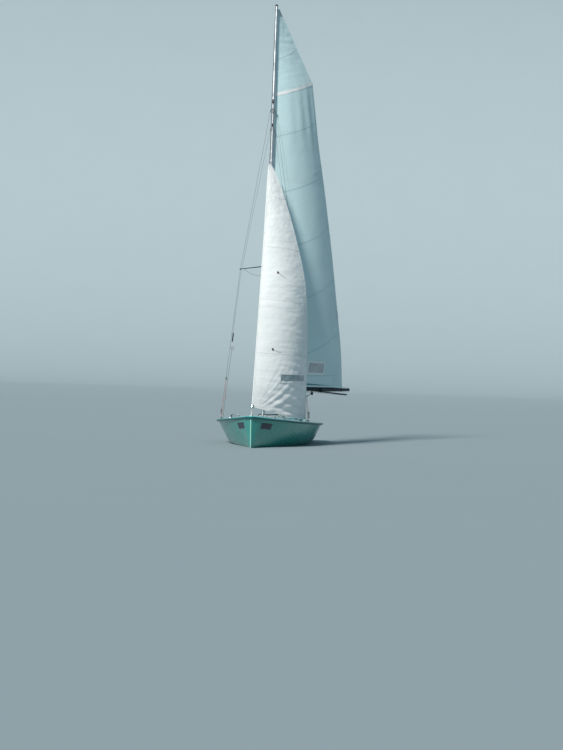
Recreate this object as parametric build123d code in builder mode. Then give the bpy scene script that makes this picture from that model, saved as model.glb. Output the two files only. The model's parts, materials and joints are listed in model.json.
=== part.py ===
"""Two-handed sailing dinghy, sails set, boom eased to port.

Frame: X to port, Y aft, Z up, millimetres. The waterline is the plane Z = 0
and the origin is on it, amidships on the centreline.
"""
from build123d import *
import os
from math import atan2, cos, hypot, radians, sin, tan

os.makedirs("parts", exist_ok=True)

# Hull and deck
hull_length = 4850
hull_beam = 1720
stem_rake = 55
stem_radius = 20
forefoot_radius = 9
skin = 8
deck_thickness = 9
deck_crown = 70
gunwale_lip = 24
rim_height = 2
strake_depth = 26
strake_gap = 3
transom_thickness = 10
fit = 0.7
seat = 0.3
inner_start = 42

# Cockpit
sole_height = 50
cockpit_front = -700
side_deck_front = 530
side_deck_mid = 395
side_deck_aft = 460
cockpit_corner = 110
tank_slope = 8
mast_gate_half = 52
mast_gate_lap = 100
cut_height = 600
flap_width = 150
flap_height = 95
flap_offset = 210
flap_lap = 8
flap_sill = 5
flap_thickness = 5
cover_diameter = 110
cover_offset = 370
cover_height = 235
cover_thickness = 9
plate_length = 340
plate_width = 95
plate_thickness = 2
plate_gap = 0.6
plate_from_stem = 400
plate_height = 345
plate_out = 200
plate_angle = 27
plate_dip = 0.06
plate_corner = 6

# Centreboard and its case
slot_width = 32
case_wall = 12
case_front = -560
case_aft = 560
case_height = 250
case_aft_height = 205
board_thickness = 22
board_length = 955
board_chord = 330
board_tip_chord = 235
board_ahead = 105
board_shoulder = 90
board_tip_out = 35
board_tip_up = 70
board_tip_back = 25
board_tip_front = 45
pivot_y = -430
pivot_z = -35
pin_diameter = 12
pin_clearance = 0.3
pin_bury = 28

# Thwart and sheet base
thwart_y = 655
thwart_width = 110
thwart_depth = 34
thwart_top = 300
thwart_round = 9
strap_offset = 180
strap_height = 190
strap_width = 50
strap_thickness = 4
base_diameter = 68
base_height = 12
swivel_diameter = 24
swivel_height = 14
sheave_diameter = 58
sheave_width = 22
sheave_height = 62
shackle_width = 26
cleat_arm = 60
cleat_arm_width = 30
cleat_arm_thickness = 5
cleat_arm_height = 34
cleat_width = 44
cleat_length = 24
cleat_depth = 14
cleat_reach = 62
cleat_height = 42

# Mast and standing rigging
mast_from_stem = 1627
mast_rake = 1.33
mast_depth = 75
mast_width = 62
mast_head_depth = 52
mast_head_width = 44
mast_head_height = 7310
mast_taper_start = 5700
track_low = 990
track_mouth = 4
track_bore = 9
track_depth = 11
step_plate = 8
step_cheek = 8
step_cheek_height = 45
collar_thickness = 6
collar_border = 62
head_cap = 14
head_sheave_width = 16
bracket_wall = 11
bracket_height = 52
track_clear = 12
spreader_root = 36
spreader_tip = 24
lug = 16
chain_base = 26
chain_strap = 24
hounds_height = 5560
hounds_band = 60
stay_diameter = 4
spreader_height = 2970
spreader_reach = 460
spreader_sweep = 70
spreader_droop = 52
chain_foot = 4
chainplate_inset = 46.5
chainplate_aft = 348
chainplate_height = 75

# Forestay and jib
tack_height = 652
stem_fitting_height = 100
forestay_foot_y = 80
stem_base = 44
stem_tang = 8
stem_tang_foot = 60
stem_tang_head = 40
stem_tang_lean = 6
bow_eye = 14
bow_eye_height = 42
sail_thickness = 6
jib_luff_gap = 4.6
lead_inset = 270
lead_aft = 588
lead_length = 90
lead_width = 40
lead_thickness = 6
lead_post = 14
lead_post_length = 26
lead_sheave = 44
lead_sheave_width = 16
lead_sheave_height = 42

# Boom, its hinge and what it carries
gooseneck_height = 950
gooseneck_reach = 16
gooseneck_pin = 8
boom_angle = 27.5
boom_length = 2680
boom_start = 45
boom_depth = 70
boom_width = 50
boom_taper_start = 2080
boom_end_depth = 50
boom_end_width = 40
end_cap = 40
neck_height = 46
neck_eye = 20
neck_eye_radius = 9
neck_lug = 5
neck_plug = 12
block_reaches = (650, 1480)
block_radius = 26
block_width = 18
block_strap = 14
block_strap_length = 24
block_neck = 20
block_drop = 18
bracket_reaches = (900, 1700)
bracket_length = 24
foot_gap = 0.1
main_head = 7270
luff_ahead = 4
pole_diameter = 24
pole_length = 1760
pole_start = 740
pole_side = 46
pole_front_rise = 10
pole_aft_drop = 85
pole_cap = 45
pole_rim = 3

# Rudder
rudder_gap = 36
pintle_diameter = 10
gudgeon_low = 70
gudgeon_high = 270
stock_gap = 28
stock_cheek = 6
gudgeon_depth = 20
gudgeon_pad = 66
gudgeon_plate = 4
gudgeon_arm = 14
gudgeon_wall = 6
pintle_arm = 10
pintle_width = 16
stock_offset = 16
stock_depth = 170
stock_spacer = 20
stock_low = 45
stock_rise = 22
stock_shoulder = 60
stock_corner = 25
blade_thickness = 18
blade_length = 760
blade_chord = 225
blade_tip_chord = 150
blade_pivot_height = 150
blade_pivot_aft = 110
blade_tip_out = 25
blade_tip_up = 50
blade_tip_back = 30
blade_tip_front = 20
tiller_length = 950
tiller_size = 26
tiller_height = 440
extension_length = 1000
extension_diameter = 22
extension_angle = 12
swivel_rise = 20
swivel_setback = 25
swivel_post = 10
swivel_foot = 24
swivel_foot_height = 5
swivel_collar = 26
plug_start = 18
plug_length = 30

bow_y = -hull_length / 2
transom_y = hull_length / 2
half_beam = hull_beam / 2
mast_y = bow_y + mast_from_stem
standing = (Align.CENTER, Align.CENTER, Align.MIN)

# Hull sections from stem to transom. Lengths are shares of the hull length,
# breadths are shares of the half beam or of the section's own half breadth.
hull_rows = [
    # from_stem, breadth, sheer, bilge_out, bilge_up, keel, bilge_radius
    (0.000, 0.0256, 495, 0.64, 60, 0, 100),
    (0.055, 0.2030, 472, 0.42, 45, -95, 120),
    (0.150, 0.4590, 442, 0.50, 20, -128, 160),
    (0.270, 0.7150, 412, 0.62, 5, -145, 200),
    (0.420, 0.9270, 385, 0.73, 0, -152, 230),
    (0.580, 1.0000, 366, 0.78, 2, -146, 230),
    (0.780, 0.9300, 349, 0.81, 14, -108, 180),
    (1.000, 0.7200, 335, 0.83, 45, -35, 110),
]


def fair_row(share):
    """Hull row at a share of the length, on smooth curves through the table."""
    ends = [max(0, min(i, len(hull_rows) - 1)) for i in range(-1, len(hull_rows) + 2)]
    span = next(i for i in range(len(hull_rows) - 1) if share <= hull_rows[i + 1][0])
    before, low, high, after = (hull_rows[ends[span + k]] for k in range(4))
    step = high[0] - low[0]
    part = (share - low[0]) / step
    row = [share]
    for a, b, c, d in list(zip(before, low, high, after))[1:]:
        slope_low = (c - a) / (high[0] - before[0]) * step
        slope_high = (d - b) / (after[0] - low[0]) * step
        cubic = 2 * (b - c) + slope_low + slope_high
        square = 3 * (c - b) - 2 * slope_low - slope_high
        row.append(b + part * (slope_low + part * (square + part * cubic)))
    return tuple(row)


shares = [row[0] for row in hull_rows]
middles = [(low + high) / 2 for low, high in zip(shares, shares[1:])]
stations = [fair_row(share) for share in sorted(shares + middles)]
stem_lean = atan2(stem_rake, stations[0][2])


def write_part(builder, label):
    """Label the finished piece and write it as one STEP file."""
    builder.part.label = label
    export_step(builder.part, f"parts/{label}.step")


def station_plane(index, start=0):
    """Plane of one hull section; the first one leans with the stem."""
    y = bow_y + hull_length * stations[index][0]
    if index:
        return Plane(origin=(0, y, 0), x_dir=(1, 0, 0), z_dir=(0, -1, 0))
    return Plane(origin=(0, y + stem_rake + start, 0), x_dir=(1, 0, 0),
                 z_dir=(0, -cos(stem_lean), -sin(stem_lean)))


def section_corners(row, inset=0):
    """Keel, bilge and sheer corners of a half section, moved in by inset."""
    from_stem, breadth, sheer, bilge_out, bilge_up, keel, bilge_radius = row
    side = half_beam * breadth
    bilge = side * bilge_out
    bottom_run = hypot(bilge, bilge_up - keel)
    side_run = hypot(side - bilge, sheer - bilge_up)
    corner_shift = 0.75 * inset
    return (
        (0, keel + inset * bottom_run / bilge),
        (bilge - corner_shift, bilge_up + corner_shift),
        (side - inset * side_run / (sheer - bilge_up), sheer),
    )


def hull_section(index, inset=0, top=rim_height, start=0):
    """Half section closed at the centreline, its side carried up by top."""
    row = stations[index]
    keel, bilge, sheer = section_corners(row, inset)
    with BuildSketch(station_plane(index, start=start)) as section:
        with BuildLine():
            FilletPolyline(keel, bilge, sheer, radius=row[-1] - inset)
            Polyline(sheer, (sheer[0], sheer[1] + top), (0, sheer[1] + top), keel)
        make_face()
    return section.sketch


def deck_section(index):
    """Half section of the cambered deck plate with its lip past the hull."""
    row = stations[index]
    edge = half_beam * row[1] + gunwale_lip
    rim_low = row[2] + rim_height + seat
    rim_high = rim_low + deck_thickness
    crown = deck_crown * row[1] ** 0.5
    with BuildSketch(station_plane(index)) as section:
        with BuildLine():
            Polyline((0, rim_low), (edge, rim_low), (edge, rim_high))
            ThreePointArc((edge, rim_high), (edge / 2, rim_high + 0.75 * crown), (0, rim_high + crown))
            Line((0, rim_high + crown), (0, rim_low))
        make_face()
    return section.sketch


def top_of(piece, x, y):
    """Highest point of a piece on the vertical line through x, y."""
    hits = piece.find_intersection_points(Axis((x, y, -3000), (0, 0, 1)))
    return max(point.Z for point, normal in hits)


def deck_seat(x, y, half_x, half_y):
    """Height at which a flat foot just clears the cambered deck."""
    spots = [(x + i * half_x, y + j * half_y) for i in (-1, 0, 1) for j in (-1, 0, 1)]
    return max(top_of(deck_moulding.part, *spot) for spot in spots) + seat


def wire(points, diameter):
    """Round wire along straight runs, with a ball in each knee."""
    with BuildPart() as line:
        for start, end in zip(points, points[1:]):
            run = Vector(*end) - Vector(*start)
            with BuildSketch(Plane(origin=start, z_dir=run)):
                Circle(diameter / 2)
            extrude(amount=run.length)
        for knee in points[1:-1]:
            with Locations(knee):
                Sphere(diameter / 2)
    return line


# Hull moulding: bottom, topsides and the round stem, open at the stern
with BuildPart() as cavity:
    loft([hull_section(i, skin, 30, inner_start) for i in range(len(stations))], ruled=True)
    mirror(about=Plane.YZ)

stem_line = Plane(origin=(0, bow_y + stem_rake, 0), x_dir=(1, 0, 0),
                  z_dir=(0, -sin(stem_lean), cos(stem_lean)))
slot_length = case_aft - case_front - 2 * case_wall
slot_middle = (case_front + case_aft) / 2
with BuildPart() as hull_shell:
    loft([hull_section(i) for i in range(len(stations))], ruled=True)
    mirror(about=Plane.YZ)
    with BuildSketch(stem_line):
        Circle(forefoot_radius)
    with BuildSketch(stem_line.offset(stations[0][2] - 3)):
        Circle(stem_radius)
    loft()
    with Locations((0, bow_y + stem_rake, 0)):
        Sphere(forefoot_radius)
    add(cavity.part, mode=Mode.SUBTRACT)
    with Locations((0, slot_middle, 0)):
        Box(slot_width, slot_length, cut_height, mode=Mode.SUBTRACT)
write_part(hull_shell, "hull_shell")

# Deck moulding: deck, side tanks and cockpit sole in one piece
with BuildPart() as deck_moulding:
    buoyancy_top = rim_height + seat + deck_thickness / 2
    buoyancy = [hull_section(i, skin + fit, buoyancy_top, inner_start) for i in range(len(stations))]
    loft(buoyancy, ruled=True)
    loft([deck_section(i) for i in range(len(stations))], ruled=True)
    split(bisect_by=Plane.XZ.offset(transom_thickness - transom_y), keep=Keep.TOP)
    mirror(about=Plane.YZ)
    nose_half = half_beam * stations[0][1] + gunwale_lip
    with BuildSketch(Plane.XY.offset(stations[0][2] + rim_height + seat)):
        with Locations((0, bow_y)):
            Circle(nose_half)
    extrude(amount=deck_thickness)
    front_corner = (half_beam - side_deck_front, cockpit_front)
    aft_corner = (half_beam - side_deck_aft, transom_y + rudder_gap)
    with BuildSketch(Plane.XY.offset(sole_height)) as pocket:
        with BuildLine():
            ThreePointArc(front_corner, (half_beam - side_deck_mid, (cockpit_front + transom_y) / 4),
                          aft_corner)
            Polyline(aft_corner, (0, aft_corner[1]), (0, cockpit_front), front_corner)
        make_face()
        mirror(about=Plane.YZ)
        fillet(pocket.vertices().group_by(Axis.Y)[0], cockpit_corner)
    extrude(amount=cut_height, taper=-tank_slope, mode=Mode.SUBTRACT)
    gate_front = mast_y - mast_gate_half
    gate_back = cockpit_front + mast_gate_lap
    with Locations((0, (gate_front + gate_back) / 2, sole_height)):
        Box(2 * mast_gate_half, gate_back - gate_front, cut_height, align=standing, mode=Mode.SUBTRACT)
    with Locations((0, slot_middle, 0)):
        Box(slot_width, slot_length, cut_height, mode=Mode.SUBTRACT)
    with Locations((0, pivot_y, pivot_z)):
        Cylinder(pin_diameter / 2 + seat, slot_width + 2 * pin_bury + 2, rotation=(0, 90, 0),
                 mode=Mode.SUBTRACT)
write_part(deck_moulding, "deck_moulding")

# Transom panel closing the stern, with two drain openings
last_station = len(stations) - 1
flap_height_centre = sole_height + flap_sill + flap_height / 2
with BuildPart() as transom:
    extrude(hull_section(last_station, skin + fit, buoyancy_top), amount=transom_thickness)
    extrude(deck_section(last_station), amount=transom_thickness)
    mirror(about=Plane.YZ)
    with Locations(*[(side * flap_offset, transom_y, flap_height_centre) for side in (-1, 1)]):
        Box(flap_width, 4 * transom_thickness, flap_height, mode=Mode.SUBTRACT)
write_part(transom, "transom")

# Drain flaps lying on the outside of the transom
transom_face = Plane(origin=(0, transom_y, 0), x_dir=(-1, 0, 0), z_dir=(0, 1, 0))
with BuildPart() as transom_flaps:
    with BuildSketch(transom_face):
        with Locations(*[(side * flap_offset, flap_height_centre) for side in (-1, 1)]):
            RectangleRounded(flap_width + 2 * flap_lap, flap_height + 2 * flap_lap, flap_lap)
    extrude(amount=flap_thickness)
write_part(transom_flaps, "transom_flaps")

# Round inspection covers on the transom
with BuildPart() as inspection_covers:
    with BuildSketch(transom_face):
        with Locations(*[(side * cover_offset, cover_height) for side in (-1, 1)]):
            Circle(cover_diameter / 2)
    extrude(amount=cover_thickness)
    chamfer(inspection_covers.faces().sort_by(Axis.Y)[-2:].edges(), cover_thickness / 3)
write_part(inspection_covers, "inspection_covers")


def strake_section(index):
    """Section of the rubbing strake under the deck's lip."""
    row = stations[index]
    inner = half_beam * row[1] + strake_gap
    outer = half_beam * row[1] + gunwale_lip
    top = row[2] + rim_height + seat - fit
    with BuildSketch(station_plane(index)) as section:
        with BuildLine():
            Polyline((inner, top), (outer, top), (outer, top - 0.6 * strake_depth),
                     (inner + 6, top - strake_depth), (inner, top - strake_depth), (inner, top))
        make_face()
    return section.sketch


with BuildPart() as gunwale_strakes:
    loft([strake_section(i) for i in range(1, len(stations))], ruled=True)
    mirror(about=Plane.YZ)
write_part(gunwale_strakes, "gunwale_strakes")

# Blank plates on both bows, bent to the topsides
with BuildPart() as plate_inside:
    loft([hull_section(i, inset=-plate_gap) for i in range(len(stations))], ruled=True)
with BuildPart() as plate_block:
    loft([hull_section(i, inset=-plate_gap - plate_thickness) for i in range(len(stations))], ruled=True)
    add(plate_inside.part, mode=Mode.SUBTRACT)
plate_turn = radians(plate_angle)
plate_frame = Plane(
    origin=(plate_out, bow_y + plate_from_stem, plate_height),
    x_dir=(sin(plate_turn), cos(plate_turn), -plate_dip),
    z_dir=(cos(plate_turn), -sin(plate_turn), 0),
)
with BuildPart() as bow_plate_port:
    with BuildSketch(plate_frame):
        RectangleRounded(plate_length, plate_width, plate_corner)
    extrude(amount=90, both=True)
    add(plate_block.part, mode=Mode.INTERSECT)
write_part(bow_plate_port, "bow_plate_port")
with BuildPart() as bow_plate_starboard:
    add(bow_plate_port.part.mirror(Plane.YZ))
write_part(bow_plate_starboard, "bow_plate_starboard")

# Centreboard case standing on the sole, open at the top
with BuildPart() as centreboard_case:
    with BuildSketch(Plane.YZ):
        Polygon((case_front, sole_height), (case_aft, sole_height),
                (case_aft, case_aft_height), (case_front, case_height), align=None)
    extrude(amount=slot_width / 2 + case_wall, both=True)
    with Locations((0, slot_middle, 0)):
        Box(slot_width, slot_length, cut_height, mode=Mode.SUBTRACT)
    fillet(centreboard_case.edges().filter_by(Axis.Z).group_by(SortBy.DISTANCE)[-1], case_wall)
write_part(centreboard_case, "centreboard_case")

with BuildPart() as centreboard_pin:
    with Locations((0, pivot_y, pivot_z)):
        Cylinder(pin_diameter / 2, slot_width + 2 * pin_bury, rotation=(0, 90, 0))
write_part(centreboard_pin, "centreboard_pin")

with BuildPart() as centreboard:
    with BuildSketch(Plane.YZ):
        with BuildLine():
            tip_z = pivot_z - board_length
            front = pivot_y - board_ahead
            ThreePointArc((front, pivot_z), (pivot_y, pivot_z + board_ahead),
                          (pivot_y + board_ahead, pivot_z))
            tip_back = (front + board_tip_chord + board_tip_out, tip_z + board_tip_up)
            tip_front = (front + board_tip_out, tip_z + board_tip_front)
            Polyline((pivot_y + board_ahead, pivot_z), (front + board_chord, pivot_z - board_shoulder),
                     tip_back)
            ThreePointArc(tip_back, (front + board_tip_chord - board_tip_back, tip_z), tip_front)
            Line(tip_front, (front, pivot_z))
        make_face()
        with Locations((pivot_y, pivot_z)):
            Circle(pin_diameter / 2 + pin_clearance, mode=Mode.SUBTRACT)
    extrude(amount=board_thickness / 2, both=True)
write_part(centreboard, "centreboard")


def wall_at(y, z):
    """Half breadth of the cockpit at a place on the tank wall."""
    hits = deck_moulding.part.find_intersection_points(Axis((0, y, z), (1, 0, 0)))
    return min(point.X for point, normal in hits if point.X > slot_width)


# Thwart between the side tanks, carrying the mainsheet block
thwart_corners = [(thwart_y + i * thwart_width / 2, thwart_top - thwart_depth) for i in (-1, 1)]
thwart_half = min(wall_at(y, z) for y, z in thwart_corners) - seat
with BuildPart() as thwart:
    with Locations((0, thwart_y, thwart_top - thwart_depth / 2)):
        Box(2 * thwart_half, thwart_width, thwart_depth)
    fillet(thwart.edges().filter_by(Axis.X), thwart_round)
write_part(thwart, "thwart")

with BuildPart() as mainsheet_base:
    with Locations((0, thwart_y, thwart_top)):
        Cylinder(base_diameter / 2, base_height, align=standing)
        Cylinder(swivel_diameter / 2, base_height + swivel_height, align=standing)
        with Locations((0, 0, base_height + swivel_height)):
            Box(shackle_width, cleat_arm_height, cleat_length / 2, align=standing)
        with Locations((0, 0, sheave_height)):
            Cylinder(sheave_diameter / 2, sheave_width, rotation=(0, 90, 0))
        with Locations((0, -cleat_arm / 2 - cleat_depth, cleat_arm_height)):
            Box(cleat_arm_width, cleat_arm, cleat_arm_thickness)
        with Locations((0, -cleat_reach, cleat_height)):
            Box(cleat_width, cleat_length, cleat_depth)
write_part(mainsheet_base, "mainsheet_base")

with BuildPart() as toe_straps:
    strap_front = thwart_y + thwart_width / 2 + seat
    strap_back = transom_y - transom_thickness - seat
    strap_middle = (strap_front + strap_back) / 2
    with Locations(*[(side * strap_offset, strap_middle, strap_height) for side in (-1, 1)]):
        Box(strap_width, strap_back - strap_front, strap_thickness)
write_part(toe_straps, "toe_straps")

# Mast, raked aft, stepped on the sole
rake = radians(mast_rake)
heel_height = sole_height + step_plate + seat + mast_depth / 2 * sin(rake)


def mast_plane(height, aft=0):
    """Plane square to the mast at a height, its origin aft of the mast's middle line."""
    y = mast_y + (height - heel_height) * tan(rake)
    return Plane(origin=(0, y + aft * cos(rake), height - aft * sin(rake)), x_dir=(1, 0, 0),
                 z_dir=(0, sin(rake), cos(rake)))


def along_mast(low, high):
    """Length of mast between two heights."""
    return (high - low) / cos(rake)


def mast_ring(height, length, half_x, half_y):
    """Band round the mast with flat sides, standing half_x and half_y off its middle."""
    with BuildPart() as band:
        with BuildSketch(mast_plane(height)):
            RectangleRounded(2 * half_x, 2 * half_y, mast_width / 3)
            SlotOverall(mast_depth + 2 * seat, mast_width + 2 * seat, rotation=90, mode=Mode.SUBTRACT)
        extrude(amount=length / 2, both=True)
    return band


head_plane = mast_plane(mast_head_height, (mast_depth - mast_head_depth) / 2)
with BuildPart() as mast:
    with BuildSketch(mast_plane(heel_height)):
        SlotOverall(mast_depth, mast_width, rotation=90)
    extrude(amount=along_mast(heel_height, mast_taper_start))
    with BuildSketch(mast_plane(mast_taper_start)):
        SlotOverall(mast_depth, mast_width, rotation=90)
    with BuildSketch(head_plane):
        SlotOverall(mast_head_depth, mast_head_width, rotation=90)
    loft()
    with BuildSketch(mast_plane(track_low, mast_depth / 2)):
        Rectangle(track_mouth, 2 * track_depth)
        with Locations((0, -track_depth)):
            Circle(track_bore / 2)
    extrude(amount=along_mast(track_low, mast_head_height), mode=Mode.SUBTRACT)
write_part(mast, "mast")

with BuildPart() as mast_step:
    with Locations((0, mast_y, sole_height + step_plate / 2)):
        Box(2 * mast_gate_half - 4, mast_depth + 20, step_plate)
    cheek_x = mast_width / 2 + seat + step_cheek / 2
    cheek_z = sole_height + step_plate + step_cheek_height / 2
    with Locations(*[(side * cheek_x, mast_y, cheek_z) for side in (-1, 1)]):
        Box(step_cheek, mast_depth, step_cheek_height)
write_part(mast_step, "mast_step")

# Gate plate holding the mast at deck level
gate_y = mast_plane(stations[3][2] + deck_crown).origin.Y
gate_half_x = mast_width / 2 + collar_border
gate_half_y = mast_depth / 2 + collar_border
gate_seat = max(
    top_of(deck_moulding.part, side * gate_half_x, gate_y - step * gate_half_y)
    for side in (-1, 0, 1) for step in (-1, 0, 1) if side or step > 0
) + seat
with BuildPart() as mast_collar:
    with BuildSketch(Plane.XY.offset(gate_seat)):
        with Locations((0, gate_y)):
            RectangleRounded(2 * gate_half_x, 2 * gate_half_y, 20)
            SlotOverall(mast_depth + 4, mast_width + 2, rotation=90, mode=Mode.SUBTRACT)
    extrude(amount=collar_thickness)
write_part(mast_collar, "mast_collar")

with BuildPart() as masthead:
    with BuildSketch(head_plane):
        SlotOverall(mast_head_depth + 8, mast_head_width + 8, rotation=90)
    extrude(amount=head_cap)
    with BuildSketch(head_plane.offset(head_cap)):
        SlotOverall(mast_head_depth + 24, head_sheave_width, rotation=90)
    extrude(amount=head_cap)
write_part(masthead, "masthead")

# Spreaders, their bracket, hounds band and stays
spreader_side = mast_width / 2 + bracket_wall
with BuildPart() as spreader_bracket:
    add(mast_ring(spreader_height, bracket_height, spreader_side, mast_depth / 2 + bracket_wall).part)
    with Locations(mast_plane(spreader_height)):
        with Locations((0, mast_depth - track_clear, 0)):
            Box(2 * spreader_side, mast_depth, 2 * bracket_height, mode=Mode.SUBTRACT)
write_part(spreader_bracket, "spreader_bracket")

spreader_root_y = mast_plane(spreader_height).origin.Y
spreader_tip_y = spreader_root_y + spreader_sweep
spreader_tip_z = spreader_height - spreader_droop
with BuildPart() as spreaders:
    with BuildSketch(Plane.YZ.offset(spreader_side)):
        with Locations((spreader_root_y, spreader_height)):
            SlotOverall(spreader_root, 0.5 * spreader_root)
    with BuildSketch(Plane.YZ.offset(spreader_reach)):
        with Locations((spreader_tip_y, spreader_tip_z)):
            SlotOverall(spreader_tip, 0.5 * spreader_tip)
    loft()
    mirror(about=Plane.YZ)
write_part(spreaders, "spreaders")

band_side = mast_width / 2 + bracket_wall / 2
band_front = mast_depth / 2 + bracket_wall / 2
with BuildPart() as hounds_fitting:
    add(mast_ring(hounds_height, hounds_band, band_side, band_front).part)
    with Locations(mast_plane(hounds_height)):
        with Locations(*[(side * (band_side + lug / 2), 0, 0) for side in (-1, 1)]):
            Box(lug, lug, lug)
        with Locations((0, -band_front - lug / 2, -hounds_band / 2 + lug / 2)):
            Box(lug, lug, lug)
write_part(hounds_fitting, "hounds_fitting")

shroud_top = mast_plane(hounds_height).from_local_coords((band_side + lug / 2, 0, -lug / 2 - 2 * seat))
stay_top = mast_plane(hounds_height).from_local_coords((0, -band_front - lug / 2, -hounds_band / 2 - 2 * seat))
chainplate_y = mast_y + chainplate_aft
chainplate_half = half_beam * fair_row((chainplate_y - bow_y) / hull_length)[1] - chainplate_inset
chain_seat = deck_seat(chainplate_half, chainplate_y, chain_base / 2, chain_base)
chain_top = chain_seat + chainplate_height
with BuildPart() as chainplates:
    with Locations((chainplate_half, chainplate_y, chain_seat)):
        Box(chain_base, 2 * chain_base, chain_foot, align=standing)
        Box(chain_foot, chain_strap, chainplate_height, align=standing)
    fillet(chainplates.edges().filter_by(Axis.X).sort_by(Axis.Z)[-2:], chain_strap / 3)
    mirror(about=Plane.YZ)
write_part(chainplates, "chainplates")

lean_in = (spreader_reach - shroud_top.X) / (shroud_top.Z - spreader_tip_z)
knee_x = spreader_reach + stay_diameter / 2 + seat + lean_in * spreader_tip / 2
shroud_port = wire(
    [
        tuple(shroud_top),
        (knee_x, spreader_tip_y, spreader_tip_z),
        (chainplate_half, chainplate_y, chain_top + 2 * seat),
    ],
    stay_diameter,
)
write_part(shroud_port, "shroud_port")
with BuildPart() as shroud_starboard:
    add(shroud_port.part.mirror(Plane.YZ))
write_part(shroud_starboard, "shroud_starboard")

# Stem fitting with the tack eye, and the forestay above it
stem_y = bow_y + forestay_foot_y
stem_seat = deck_seat(0, stem_y, stem_base / 2, 0.7 * stem_base)
stem_top = stem_seat + stem_fitting_height
tang_head = (stem_y + stem_tang_lean - stem_tang_head / 2, stem_y + stem_tang_lean + stem_tang_head / 2)
with BuildPart() as stem_fitting:
    with Locations((0, stem_y, stem_seat)):
        Box(stem_base, 1.4 * stem_base, chain_foot, align=standing)
    with BuildSketch(Plane.YZ):
        Polygon((stem_y - stem_tang_foot / 2, stem_seat), (stem_y + stem_tang_foot / 2, stem_seat),
                (tang_head[1], stem_top), (tang_head[0], stem_top), align=None)
        with Locations((stem_y, stem_seat + bow_eye_height)):
            Circle(bow_eye / 2, mode=Mode.SUBTRACT)
    extrude(amount=stem_tang / 2, both=True)
write_part(stem_fitting, "stem_fitting")

stay_foot = Vector(0, stem_y, stem_top + 2 * seat)
forestay = wire([tuple(stay_foot), tuple(stay_top)], stay_diameter)
write_part(forestay, "forestay")

# Gooseneck on the aft side of the mast; the boom's hinge pin is in it
pin_local_y = mast_depth / 2 + gooseneck_reach
boom_hinge = mast_plane(gooseneck_height).from_local_coords((0, pin_local_y, 0))
ring_back = mast_depth / 2 + 4
with BuildPart() as gooseneck:
    add(mast_ring(gooseneck_height, neck_height, mast_width / 2 + 4, ring_back).part)
    lug_middle = (ring_back + pin_local_y + gooseneck_pin) / 2 - 1
    lug_length = pin_local_y + gooseneck_pin - ring_back + 2
    lug_height = neck_eye / 2 + seat + neck_lug / 2
    with Locations(mast_plane(gooseneck_height)):
        with Locations((0, lug_middle, lug_height), (0, lug_middle, -lug_height)):
            Box(18, lug_length, neck_lug)
        with Locations((0, pin_local_y, 0)):
            Cylinder(gooseneck_pin / 2, neck_eye + 2 * neck_lug + 6)
write_part(gooseneck, "gooseneck")

# Boom and what swings with it
swing = radians(boom_angle)
boom_axis = Vector(sin(swing), cos(swing), 0)


def boom_plane(reach):
    """Plane square to the boom; its x points to windward and its y up."""
    return Plane(origin=boom_hinge + boom_axis * reach, x_dir=(-cos(swing), sin(swing), 0),
                 z_dir=boom_axis)


with BuildPart() as boom:
    with BuildSketch(boom_plane(boom_start)):
        SlotOverall(boom_depth, boom_width, rotation=90)
    extrude(amount=boom_taper_start - boom_start)
    with BuildSketch(boom_plane(boom_taper_start)):
        SlotOverall(boom_depth, boom_width, rotation=90)
    with BuildSketch(boom_plane(boom_length - end_cap)):
        SlotOverall(boom_end_depth, boom_end_width, rotation=90)
    loft()
write_part(boom, "boom")

with BuildPart() as boom_eye:
    with BuildSketch(mast_plane(gooseneck_height)):
        with Locations((0, pin_local_y)):
            Circle(neck_eye_radius)
            Circle(gooseneck_pin / 2 + pin_clearance, mode=Mode.SUBTRACT)
    extrude(amount=neck_eye / 2, both=True)
    with BuildSketch(boom_plane(gooseneck_pin / 2 + 2)):
        Rectangle(12, neck_eye - 3)
    extrude(amount=boom_start - gooseneck_pin / 2 - 2 - neck_plug)
    with BuildSketch(boom_plane(boom_start - neck_plug)):
        SlotOverall(boom_depth - 6, boom_width - 6, rotation=90)
    extrude(amount=neck_plug)
write_part(boom_eye, "boom_gooseneck")

with BuildPart() as boom_end_fitting:
    with BuildSketch(boom_plane(boom_length - end_cap)):
        SlotOverall(boom_end_depth + 4, boom_end_width + 4, rotation=90)
    extrude(amount=end_cap)
    fillet(boom_end_fitting.faces().sort_by(Axis.Y)[-1].edges(), 6)
write_part(boom_end_fitting, "boom_end")

with BuildPart() as boom_blocks:
    for reach in block_reaches:
        under = -boom_depth / 2
        sheave = boom_plane(reach).from_local_coords((0, under - block_drop - block_radius, 0))
        with BuildSketch(boom_plane(reach - block_neck / 2)):
            with Locations((0, under - block_strap_length / 2)):
                Rectangle(block_strap, block_strap_length)
            with Locations((0, under - block_drop - block_radius)):
                Circle(0.4 * block_radius)
        extrude(amount=block_neck)
        with BuildSketch(Plane(origin=sheave, x_dir=boom_axis, z_dir=(cos(swing), -sin(swing), 0))):
            Circle(block_radius)
        extrude(amount=block_width / 2, both=True)
write_part(boom_blocks, "boom_blocks")

# Spinnaker pole stowed along the lee side of the boom
pole_foot = boom_plane(pole_start).from_local_coords((-pole_side, pole_front_rise, 0))
pole_head = boom_plane(pole_start + pole_length).from_local_coords((-pole_side, -pole_aft_drop, 0))
pole_run = pole_head - pole_foot
pole_axis = pole_run.normalized()
with BuildPart() as spinnaker_pole:
    with BuildSketch(Plane(origin=pole_foot, z_dir=pole_axis)):
        Circle(pole_diameter / 2)
    extrude(amount=pole_run.length)
write_part(spinnaker_pole, "spinnaker_pole")

with BuildPart() as pole_ends:
    for tip, direction in ((pole_foot, -pole_axis), (pole_head, pole_axis)):
        with BuildSketch(Plane(origin=tip, z_dir=direction)):
            Circle(pole_diameter / 2 + pole_rim)
        with BuildSketch(Plane(origin=tip + direction * pole_cap, z_dir=direction)):
            Circle(pole_diameter / 2 - pole_rim)
        loft()
write_part(pole_ends, "pole_ends")

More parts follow.
